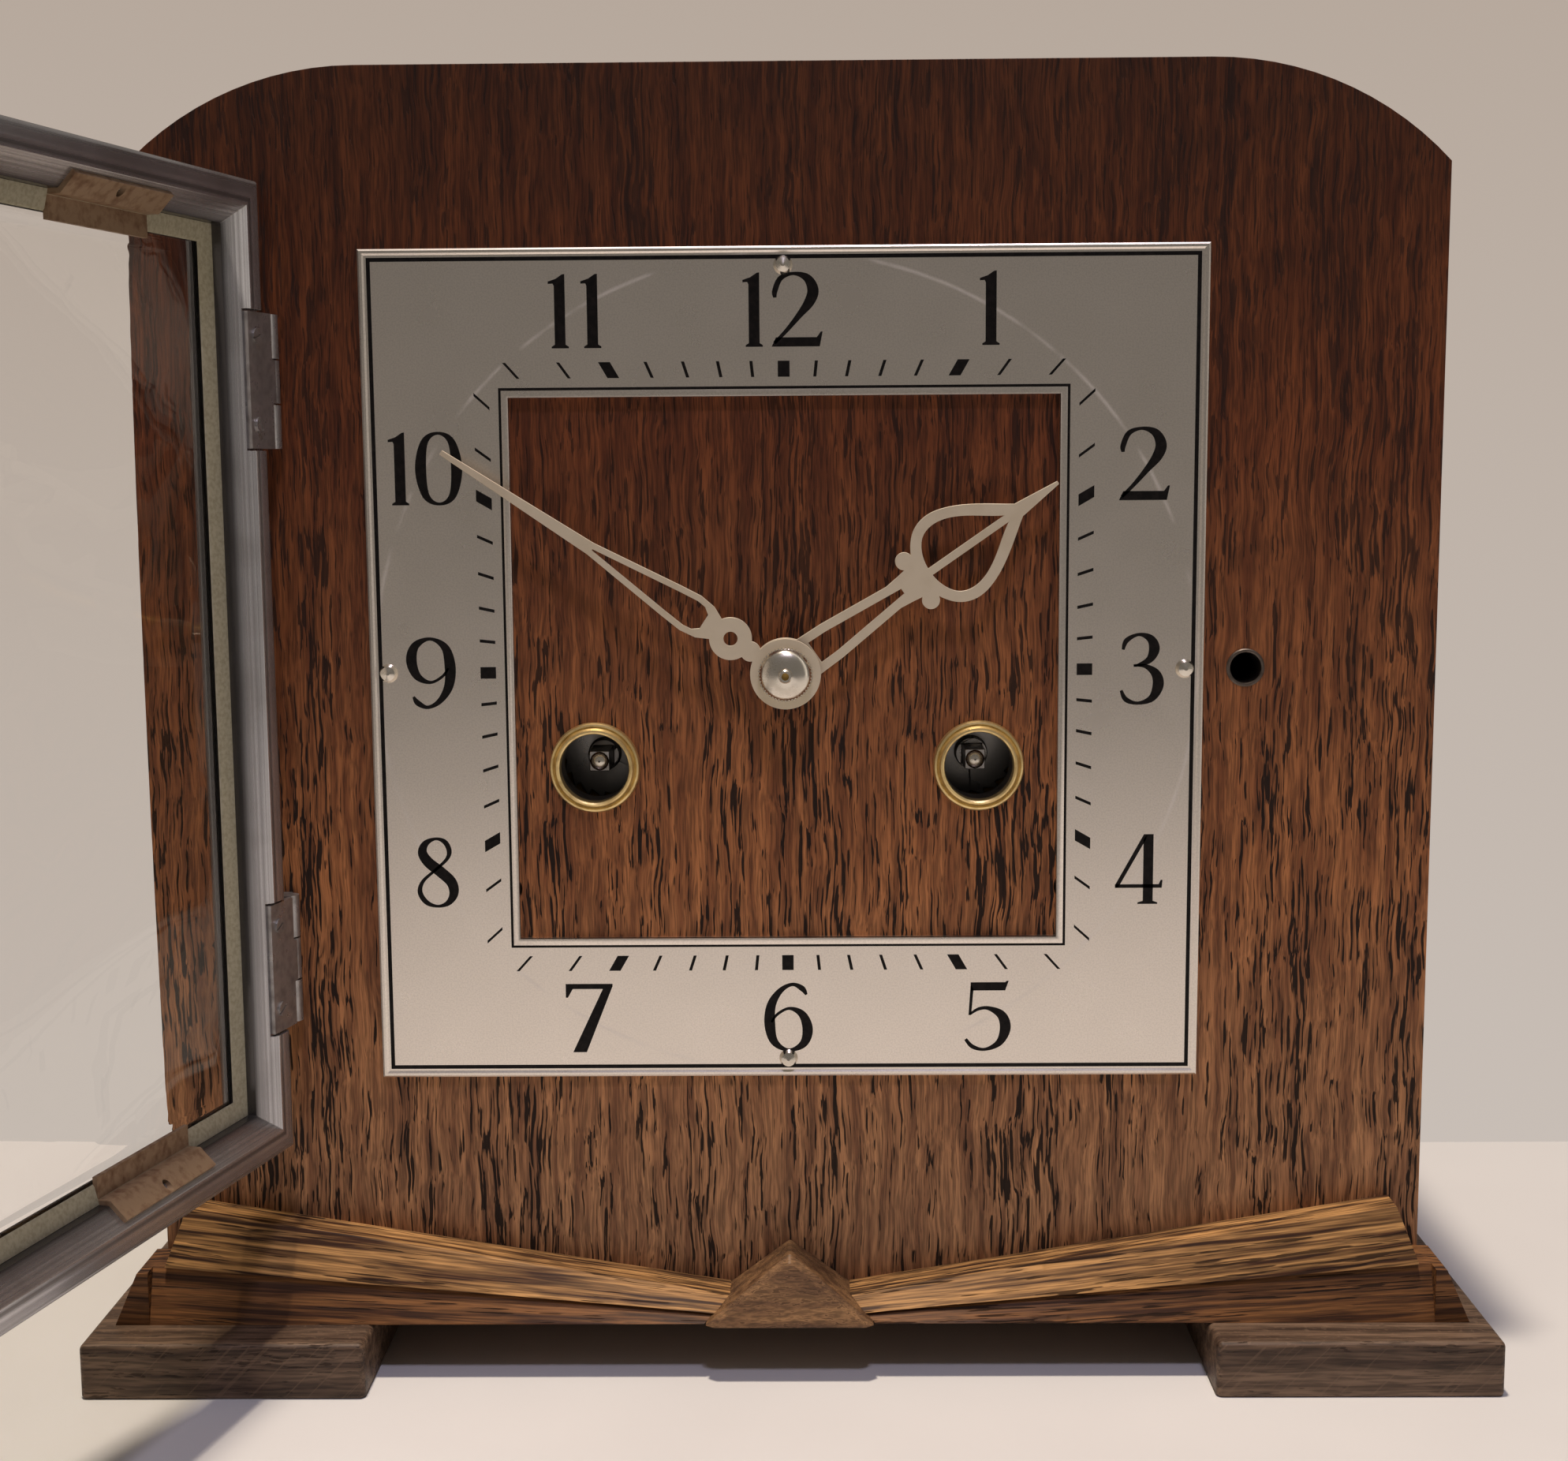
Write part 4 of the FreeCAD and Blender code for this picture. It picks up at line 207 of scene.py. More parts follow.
def wood(name, tones, turn=(0, 0, 0), figure=(1.4, 26.0), edge=(0.35, 0.65), fibre=(0.3, 7.0),
         vessel=(0.55, 11.0), cover=0.77, depth=0.95, waver=1.2, gloss=0.5, top=None, saw=0.0):
    """Open-pored timber: a wavering figure, fine fibres and stained pores under a thin worn varnish.

    Sizes are millimetres across and along the grain, and the waver is millimetres to each side.
    Fibres and vessels are drawn coarser than the real ones, so that they show.
    """
    drift_size, row_size, saw_size = (13.0, 16.0), (5.0, 80.0), (0.7, 30.0)
    light, dark, pore = tones
    tree, shader, place = start_material(name)
    along = add(tree, "ShaderNodeMapping", {"Vector": place, "Rotation": turn})
    drift = streaks(tree, along, *drift_size, out="Color")
    sway = (drift, (2 * waver * MM, 2 * waver * MM, 0), along)
    bent = add(tree, "ShaderNodeVectorMath", sway, operation="MULTIPLY_ADD")
    bands = streaks(tree, bent, *figure, 3.0)
    grown_tone = add(tree, "ShaderNodeValToRGB", (bands,), ((edge[0], dark), (edge[1], light)))
    fibres = streaks(tree, bent, *fibre)
    threads = add(tree, "ShaderNodeValToRGB", (fibres,), ((0.38, grey(0.42)), (0.6, grey(1.0))))
    timber = add(tree, "ShaderNodeMix", {SHARE: 0.85, UNDER: grown_tone, OVER: threads}, **TINT)
    if top:
        # Painted shade: the colour darkens from the foot of the case to its top, where less light reaches
        # it, and the pores stand out less there
        height = add(tree, "ShaderNodeSeparateXYZ", (place,), out="Z")
        climb = add(tree, "ShaderNodeMapRange", (height, 20 * MM, 230 * MM))
        painted_shade_stops = ((0.0, grey(1.0)), (1.0, top), (0.33, linear("fbddc3")), (0.71, linear("ae846c")))
        stain = add(tree, "ShaderNodeValToRGB", (climb,), painted_shade_stops)
        timber = add(tree, "ShaderNodeMix", {SHARE: 1.0, UNDER: timber, OVER: stain}, **TINT)
        depth = add(tree, "ShaderNodeMapRange", (height, 110 * MM, 190 * MM, depth, 0.6 * depth))
    rows = streaks(tree, bent, *row_size, 1.0)
    vessels = streaks(tree, bent, *vessel, 2.5)
    gathered = add(tree, "ShaderNodeMath", (rows, 0.4, vessels), operation="MULTIPLY_ADD")
    pores = add(tree, "ShaderNodeValToRGB", (gathered,), ((cover, grey(0)), (cover + 0.025, grey(1))))
    stained = add(tree, "ShaderNodeMath", (pores, depth), operation="MULTIPLY")
    tone = add(tree, "ShaderNodeMix", {SHARE: stained, UNDER: timber, OVER: pore}, **BLEND)
    if saw:
        slant = {"Vector": place, "Rotation": (0, -math.pi / 4, 0)}
        strokes = streaks(tree, add(tree, "ShaderNodeMapping", slant), *saw_size)
        marks = add(tree, "ShaderNodeValToRGB", (strokes,), ((0.6, grey(0)), (0.66, grey(saw))))
        tone = add(tree, "ShaderNodeMix", {SHARE: marks, UNDER: tone, OVER: light}, **BLEND)
    rough = add(tree, "ShaderNodeMapRange", (pores, 0.0, 1.0, gloss, gloss + 0.3))
    sunk = {"Height": pores, "Strength": 0.5, "Distance": 0.12 * MM}
    bump = add(tree, "ShaderNodeBump", sunk, invert=True)
    fill(tree, shader, {"Base Color": tone, "Roughness": rough, "Normal": bump,
                        "IOR": 1.5, "Specular IOR Level": 0.3})


def metal(name, clean, stain, gloss, spread, cloud, share, relief=0.1, bare=1.0):
    """Plated or bare metal: a clean tone, clouds of tarnish or wear, and a fine grain from its making.

    The cloud's size is millimetres. The grain is drawn coarser than the real one, so that it shows.
    """
    grit = 0.25
    tree, shader, place = start_material(name)
    clouds = streaks(tree, place, cloud, cloud, 5.0)
    grain = streaks(tree, place, grit, grit)
    worn = add(tree, "ShaderNodeValToRGB", (clouds,), ((0.45, grey(0)), (0.72, grey(share))))
    rough = add(tree, "ShaderNodeMapRange", (clouds, 0.3, 0.75, gloss, gloss + spread))
    bump = add(tree, "ShaderNodeBump", {"Height": grain, "Strength": relief, "Distance": 0.05 * MM})
    tone = add(tree, "ShaderNodeMix", {SHARE: worn, UNDER: clean, OVER: stain}, **BLEND)
    fill(tree, shader, {"Base Color": tone, "Metallic": bare, "Roughness": rough, "Normal": bump})


def silvered_dial(colours):
    """Silvered brass, grained and lacquered: a satin sheen, small specks and an old ring of scratches."""
    ring_radius, ring_half = 74.0 * MM, 0.5 * MM
    tree, shader, place = start_material("silvered_dial")
    flat = {"Vector": place, "Location": (0, 0, -DIAL.z), "Scale": (1, 0, 1)}
    centre = add(tree, "ShaderNodeMapping", flat)
    radius = add(tree, "ShaderNodeVectorMath", (centre,), out="Value", operation="LENGTH")
    off = add(tree, "ShaderNodeMath", (radius, ring_radius), operation="SUBTRACT")
    away = add(tree, "ShaderNodeMath", (off,), operation="ABSOLUTE")
    ring = add(tree, "ShaderNodeMapRange", (away, 0.0, ring_half, 1.0, 0.0))
    patches = streaks(tree, place, 9.0, 9.0, 4.0)
    broken = add(tree, "ShaderNodeValToRGB", (patches,), ((0.42, grey(0)), (0.6, grey(0.45))))
    scratch = add(tree, "ShaderNodeMath", (ring, broken), operation="MULTIPLY")
    grain = streaks(tree, place, 0.3, 0.3, 3.0)
    specks = add(tree, "ShaderNodeValToRGB", (grain,), ((0.35, grey(0.82)), (0.6, grey(1.0))))
    clean = add(tree, "ShaderNodeMix", {SHARE: 0.6, UNDER: colours.silver, OVER: specks}, **TINT)
    tone = add(tree, "ShaderNodeMix", {SHARE: scratch, UNDER: clean, OVER: linear("efe9e0")}, **BLEND)
    rough = add(tree, "ShaderNodeMapRange", (patches, 0.0, 1.0, 0.25, 0.32))
    bump = add(tree, "ShaderNodeBump", {"Height": grain, "Strength": 0.06, "Distance": 0.03 * MM})
    bare = add(tree, "ShaderNodeMapRange", (scratch, 0.0, 1.0, 1.0, 0.0))
    fill(tree, shader, {"Base Color": tone, "Metallic": bare, "Roughness": rough, "Normal": bump})


def drawn_chrome(colours):
    """Dull old chrome on drawn strip: lines run along each rail, and painted shade darkens it beside the
    rebate.
    """
    rebate, shade_fades_at = 78.3 * MM, 79.7 * MM
    tree, shader, place = start_material("old_chrome")
    back = DOOR_FRAME.inverted()
    centre = back.to_translation() - Vector((DOOR_MIDDLE, 0, 0))
    to_door = {"Vector": place, "Location": centre, "Rotation": back.to_euler()}
    door = add(tree, "ShaderNodeMapping", to_door)
    away = add(tree, "ShaderNodeVectorMath", (door,), operation="ABSOLUTE")
    sides = add(tree, "ShaderNodeSeparateXYZ", (away,), out=None)
    reach = add(tree, "ShaderNodeMath", (sides["X"], sides["Z"]), operation="MAXIMUM")
    across = add(tree, "ShaderNodeCombineXYZ", {"X": reach})
    lines = streaks(tree, across, 0.9, 0.9, 4.0)
    clouds = streaks(tree, place, 12.0, 12.0, 5.0)
    tones = ((0.34, linear("7b7878")), (0.6, colours.chrome))
    drawn = add(tree, "ShaderNodeValToRGB", (lines,), tones)
    worn = add(tree, "ShaderNodeValToRGB", (clouds,), ((0.45, grey(0)), (0.72, grey(0.35))))
    # Painted shade: the chrome turns dark next to the rebate, standing in for the shade of the rebate wall
    rebate_shade = add(tree, "ShaderNodeMapRange", (reach, rebate, shade_fades_at, 0.8, 0.0))
    dulled = add(tree, "ShaderNodeMix", {SHARE: worn, UNDER: drawn, OVER: linear("77726d")}, **BLEND)
    tone = add(tree, "ShaderNodeMix", {SHARE: rebate_shade, UNDER: dulled, OVER: linear("2e2a27")}, **BLEND)
    rough = add(tree, "ShaderNodeMapRange", (lines, 0.3, 0.7, 0.36, 0.16))
    bump = add(tree, "ShaderNodeBump", {"Height": lines, "Strength": 0.35, "Distance": 0.15 * MM})
    fill(tree, shader, {"Base Color": tone, "Metallic": 0.78, "Roughness": rough, "Normal": bump})


def matt(name, clean, shade, grain, gloss):
    """Ink, putty and the like: a dull coat with a faint unevenness, its grain in millimetres."""
    tree, shader, place = start_material(name)
    uneven = streaks(tree, place, grain, grain, 4.0)
    bump = add(tree, "ShaderNodeBump", {"Height": uneven, "Strength": 0.2, "Distance": 0.05 * MM})
    tone = add(tree, "ShaderNodeValToRGB", (uneven,), ((0.35, shade), (0.6, clean)))
    fill(tree, shader, {
        "Base Color": tone, "Roughness": gloss, "Normal": bump, "Specular IOR Level": 0.15})


def window_glass():
    """Old drawn glass: clear, with a thin film of dust that dulls the gloss in patches.

    The index is lower than that of real glass, to keep the dome's mirror images faint.
    """
    tree, shader, place = start_material("convex_glass")
    film = streaks(tree, place, 22.0, 22.0, 5.0)
    rough = add(tree, "ShaderNodeMapRange", (film, 0.5, 0.8, 0.0, 0.012))
    fill(tree, shader, {
        "Base Color": linear("fcfbf9"), "Roughness": rough, "IOR": 1.3, "Transmission Weight": 1.0})


def make_woods(colours):
    lying = (0, math.pi / 2, 0)
    oak = (colours.oak_light, colours.oak_dark, colours.oak_pore)
    # Stained oak veneer: upright grain with black pores, and painted shade that darkens it towards the top
    wood("stained_oak", oak, top=colours.oak_top)
    # The same oak with its grain along the bent top, and the same painted shade
    wood("stained_oak_lying", oak, turn=lying, top=colours.oak_top)
    # Plain brown feet, sawn and stained, greyer than the veneer, with slanting saw marks
    foot = (colours.foot_tone, linear("4d3b2f"), linear("221813"))
    wood("stained_foot_oak", foot, turn=lying, figure=(2.0, 60.0), fibre=(0.5, 8.0), vessel=(0.5, 4.0),
         cover=0.86, depth=0.6, waver=0.6, saw=0.3)
    # Keystone: the feet's wood, a little warmer
    warm = (linear("9b7651"), linear("674b35"), linear("2a1c13"))
    wood("keystone_oak", warm, turn=lying, figure=(1.5, 20.0), fibre=(0.4, 2.0), vessel=(0.4, 2.0),
         cover=0.8, depth=0.6, waver=0.5)
    # Thin plywood inside and at the back: pale brown, close grain
    pale = (linear("8a6848"), linear("654a33"), linear("3a281a"))
    wood("brown_plywood", pale, figure=(6.0, 120.0), vessel=(0.5, 6.0), cover=0.8, depth=0.5, gloss=0.6)
    # Striped veneer on the mouldings: fine dark lines run along each strip, which rises towards its tip
    upper = (colours.stripe_light, colours.stripe_dark, linear("24140b"))
    # The lower strips' darker tones are painted shade from the upper strips' overhang
    lower = (colours.stripe_low, colours.stripe_dark, linear("1c100a"))
    for side, sign in (("left", -1), ("right", 1)):
        for level, slope, tones in (("upper", 7.0, upper), ("lower", 3.5, lower)):
            turn = (0, math.pi / 2 + sign * math.radians(slope), 0)
            wood(f"striped_{level}_{side}", tones, turn, figure=(0.9, 36.0), edge=(0.38, 0.62),
                 fibre=(0.3, 9.0), vessel=(0.5, 14.0), cover=0.82, depth=0.85, waver=0.25, gloss=0.6)


def make_metals(colours):
    # Plated hands, pale champagne and nearly matt with age
    metal("champagne_plate", colours.hand, linear("b8a789"), 0.42, 0.15, cloud=8.0, share=0.4, bare=0.4)
    # Polished nickel on small turned pieces: sharp bright spots of light
    metal("bright_nickel", linear("ded8cc"), linear("a79b88"), 0.18, 0.15, cloud=3.0, share=0.4)
    # Lacquered brass: warm, with brown tarnish in patches
    metal("lacquered_brass", colours.brass, linear("8a6830"), 0.28, 0.2, cloud=2.0, share=0.45, bare=0.9)
    # Rolled sheet brass: deeper yellow, with broad soft clouds
    metal("rolled_brass", linear("d0ab62"), linear("9a7638"), 0.3, 0.2, cloud=14.0, share=0.5)
    # Polished steel: cool grey, with dull brownish patches where it was handled
    metal("polished_steel", linear("b5b3b1"), linear("6d6660"), 0.22, 0.2, cloud=8.0, share=0.5)
    drawn_chrome(colours)
    # Worn nickel on the hinges: grey, and brown where the plating has gone
    metal("hinge_nickel", linear("aaa7a6"), linear("4f463f"), 0.24, 0.2, cloud=2.5, share=0.5, bare=0.7)
    # Clips: bare steel gone brown, speckled with rust
    metal("rusted_steel", linear("998065"), linear("623c22"), 0.45, 0.3, cloud=1.8, share=0.7,
          relief=0.3, bare=0.3)
    # Metal darkened as painted shade, inside the eyelet and the winding holes, which makes them look deep
    metal("eyelet_and_bore_painted_shade", linear("6a615a"), linear("34291f"), 0.35, 0.2, cloud=2.0, share=0.6)


def make_coats(colours):
    silvered_dial(colours)
    # Printer's ink: near black and dull, a little thin in places
    matt("dial_ink", colours.ink, linear("1b1716"), 0.8, 0.45)
    # Old putty: pale olive, chalky and uneven
    matt("olive_putty", linear("b3ad95"), linear("a09a82"), 0.7, 0.7)
    window_glass()


def finish(name):
    return bpy.data.materials[name]


# Piece building


def new_piece(name, shell, material, smooth_angle=30.0):
    """A mesh object at the origin from a bmesh, shaded smooth below the angle."""
    mesh = bpy.data.meshes.new(name)
    shell.to_mesh(mesh)
    shell.free()
    mesh.shade_smooth()
    mesh.set_sharp_from_angle(angle=math.radians(smooth_angle))
    mesh.materials.append(finish(material))
    made = bpy.data.objects.new(name, mesh)
    bpy.context.scene.collection.objects.link(made)
    return made


def settle(made, body, stands_for=()):
    """Let a piece ride on its body, and hide the solids that it stands for."""
    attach(made, body)
    if stands_for:
        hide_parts(*stands_for)
    return made


def paint(material, *names):
    """Give solids that are shown as they are a better finish."""
    for name in names:
        for slot in NODES[name].material_slots:
            slot.material = finish(material)


def soften(name, edge, material, angle=35.0, segments=2, flat=0.4):
    """A copy of a solid with its edges eased by so many millimetres, which stands for it."""
    same_point = 0.002 * MM
    source = NODES[name]
    shell = bmesh.new()
    shell.from_mesh(source.data)
    bmesh.ops.remove_doubles(shell, verts=shell.verts, dist=same_point)
    bmesh.ops.dissolve_limit(shell, angle_limit=math.radians(flat), verts=shell.verts, edges=shell.edges)
    made = new_piece(f"{name}_eased", shell, material)
    bevel = made.modifiers.new("eased_edges", "BEVEL")
    bevel.width = edge * MM
    bevel.segments = segments
    bevel.limit_method = "ANGLE"
    bevel.angle_limit = math.radians(angle)
    bevel.harden_normals = True
    return settle(made, source["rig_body"], [name])


def dial_point(x, z, height):
    """A point on the dial: millimetres from its centre, and metres in front of its face."""
    return Vector((DIAL.x + x * MM, DIAL.y - height, DIAL.z + z * MM))


def plate(shell, corners, low, high):
    """A thin flat plate on the dial from its corners in millimetres."""
    front = [shell.verts.new(dial_point(x, z, high)) for x, z in corners]
    back = [shell.verts.new(dial_point(x, z, low)) for x, z in corners]
    shell.faces.new(front)
    shell.faces.new(back[::-1])
    for i in range(len(corners)):
        j = (i + 1) % len(corners)
        shell.faces.new((front[i], back[i], back[j], front[j]))


def curve_at(t, a, b, c, d):
    """A value between b and c on the smooth curve through a, b, c and d."""
    bend = 2 * a - 5 * b + 4 * c - d
    twist = 3 * b - a - 3 * c + d
    return 0.5 * (2 * b + (c - a) * t + bend * t * t + twist * t ** 3)


def smooth_line(points, closed, steps=7):
    """Points on a smooth curve through the given places, each with its width."""
    count = len(points)
    line = []
    for i in range(count if closed else count - 1):
        near = range(i - 1, i + 3)
        ring = [points[k % count] if closed else points[min(max(k, 0), count - 1)] for k in near]
        for step in range(steps):
            line.append([curve_at(step / steps, *four) for four in zip(*ring)])
    return line if closed else line + [list(points[-1])]


def stroke(shell, points, low, high, closed=False):
    """A pen stroke on the dial: a smooth band whose width changes along it."""
    line = smooth_line(points, closed)
    count = len(line)
    rows = []
    for i, (x, z, width) in enumerate(line):
        before = line[i - 1] if closed or i else line[0]
        after = line[(i + 1) % count] if closed else line[min(i + 1, count - 1)]
        dx, dz = after[0] - before[0], after[1] - before[1]
        size = math.hypot(dx, dz)
        ox, oz = -dz / size * width / 2, dx / size * width / 2
        rows.append([shell.verts.new(dial_point(x + side * ox, z + side * oz, level))
                     for level in (high, low) for side in (1, -1)])
    pairs = list(zip(rows, rows[1:])) + ([(rows[-1], rows[0])] if closed else [])
    for here, there in pairs:
        for a, b in ((0, 1), (1, 3), (3, 2), (2, 0)):
            shell.faces.new((here[a], here[b], there[b], there[a]))
    if not closed:
        shell.faces.new([rows[0][k] for k in (0, 2, 3, 1)])
        shell.faces.new([rows[-1][k] for k in (0, 1, 3, 2)])


def skin(shell, rings):
    """Faces between closed rings of points, the last ring joined to the first."""
    for i, ring in enumerate(rings):
        after = rings[(i + 1) % len(rings)]
        count = len(ring)
        for k in range(count):
            shell.faces.new((ring[k], ring[(k + 1) % count], after[(k + 1) % count], after[k]))


def square_moulding(shell, profile, place):
    """A profile of reach and height carried round a square with mitred corners."""
    corners = ((1, 1), (-1, 1), (-1, -1), (1, -1))
    skin(shell, [
        [shell.verts.new(place(reach * sx, reach * sz, height)) for sx, sz in corners]
        for reach, height in profile])


def lathe(shell, profile, centre, steps=64):
    """A closed profile of radius and height turned about an axis that points to the front."""
    turns = [2 * math.pi * k / steps for k in range(steps)]
    skin(shell, [
        [shell.verts.new(centre + Vector((radius * math.cos(t), -height, radius * math.sin(t))) * MM)
         for t in turns]
        for radius, height in profile])


def facing_out(shell):
    bmesh.ops.recalc_face_normals(shell, faces=shell.faces)
    return shell


# Repeated fittings, as node trees


def start_tree(name, inputs):
    """A geometry tree with named inputs. Returns the tree and its input sockets by name."""
    tree = bpy.data.node_groups.new(name, "GeometryNodeTree")
    tree.interface.new_socket("Geometry", in_out="INPUT", socket_type="NodeSocketGeometry")
    tree.interface.new_socket("Geometry", in_out="OUTPUT", socket_type="NodeSocketGeometry")
    for label, kind in inputs:
        tree.interface.new_socket(label, in_out="INPUT", socket_type=kind)
    return tree, add(tree, "NodeGroupInput", out=None)


def end_tree(tree, instances, material):
    real = add(tree, "GeometryNodeRealizeInstances", (instances,))
    painted = add(tree, "GeometryNodeSetMaterial", {"Geometry": real, "Material": material})
    add(tree, "NodeGroupOutput", (painted,), out=None)
    return tree


def screw_tree():
    """A slotted screw head on every point, its slot turned by chance."""
    head_share, slot_share, slot_rise, slot_length = 0.5, 0.28, 0.7, 10 * MM
    tree, given = start_tree("slotted_screws", [
        ("Radius", "NodeSocketFloat"), ("Turn", "NodeSocketRotation"), ("Material", "NodeSocketMaterial")])
    radius = given["Radius"]
    depth = add(tree, "ShaderNodeMath", (radius, head_share), operation="MULTIPLY")
    head = add(tree, "GeometryNodeMeshCylinder", {"Vertices": 20, "Radius": radius, "Depth": depth})
    wide = add(tree, "ShaderNodeMath", (radius, slot_share), operation="MULTIPLY")
    slot_size = add(tree, "ShaderNodeCombineXYZ", (slot_length, wide, depth))
    bar = add(tree, "GeometryNodeMeshCube", {"Size": slot_size})
    up = add(tree, "ShaderNodeCombineXYZ", {"Z": depth})
    lift = add(tree, "ShaderNodeVectorMath", {0: up, "Scale": slot_rise}, operation="SCALE")
    raised = add(tree, "GeometryNodeTransform", {"Geometry": bar, "Translation": lift})
    solids = {"Mesh 1": head, "Mesh 2": raised}
    cut = add(tree, "GeometryNodeMeshBoolean", solids, operation="DIFFERENCE")
    on_points = add(tree, "GeometryNodeInstanceOnPoints", {
        "Points": given["Geometry"], "Instance": cut, "Rotation": given["Turn"]})
    half_turn = {0: (0, 0, 0), 1: (0, 0, math.pi), "Seed": 4}
    chance = add(tree, "FunctionNodeRandomValue", half_turn, data_type="FLOAT_VECTOR")
    turned = add(tree, "GeometryNodeRotateInstances", {"Instances": on_points, "Rotation": chance})
    return end_tree(tree, turned, given["Material"])


def knurl_tree():
    """Straight ridges round a ring whose axis points to the front."""
    tree, given = start_tree("straight_knurl", [
        ("Count", "NodeSocketInt"), ("Ring", "NodeSocketFloat"), ("Ridge", "NodeSocketFloat"),
        ("Length", "NodeSocketFloat"), ("Centre", "NodeSocketVector"), ("Material", "NodeSocketMaterial")])
    upright = (math.pi / 2, 0, 0)
    ring = add(tree, "GeometryNodeMeshCircle", {"Vertices": given["Count"], "Radius": given["Ring"]})
    placed = add(tree, "GeometryNodeTransform", {
        "Geometry": ring, "Rotation": upright, "Translation": given["Centre"]})
    ridge = add(tree, "GeometryNodeMeshCylinder", {
        "Vertices": 8, "Radius": given["Ridge"], "Depth": given["Length"]})
    on_points = add(tree, "GeometryNodeInstanceOnPoints", {
        "Points": placed, "Instance": ridge, "Rotation": upright})
    return end_tree(tree, on_points, given["Material"])


def grown(name, tree, points, inputs, material):
    """Run a tree on some points and keep its result as a plain mesh."""
    seeds = bpy.data.meshes.new(f"{name}_points")
    seeds.from_pydata([tuple(p) for p in points], [], [])
    holder = bpy.data.objects.new(name, seeds)
    bpy.context.scene.collection.objects.link(holder)
    modifier = holder.modifiers.new("repeat", "NODES")
    modifier.node_group = tree
    sockets = {item.name: item.identifier for item in tree.interface.items_tree if item.in_out == "INPUT"}
    for label, value in {**inputs, "Material": finish(material)}.items():
        modifier[sockets[label]] = value
    evaluated = holder.evaluated_get(bpy.context.evaluated_depsgraph_get())
    mesh = bpy.data.meshes.new_from_object(evaluated)
    if not mesh.polygons:
        raise RuntimeError(f"{name} came out empty")
    holder.modifiers.remove(modifier)
    holder.data = mesh
    bpy.data.meshes.remove(seeds)
    return holder


# Dial figures: strokes of x, height and width, and plates, in shares of the figure's height

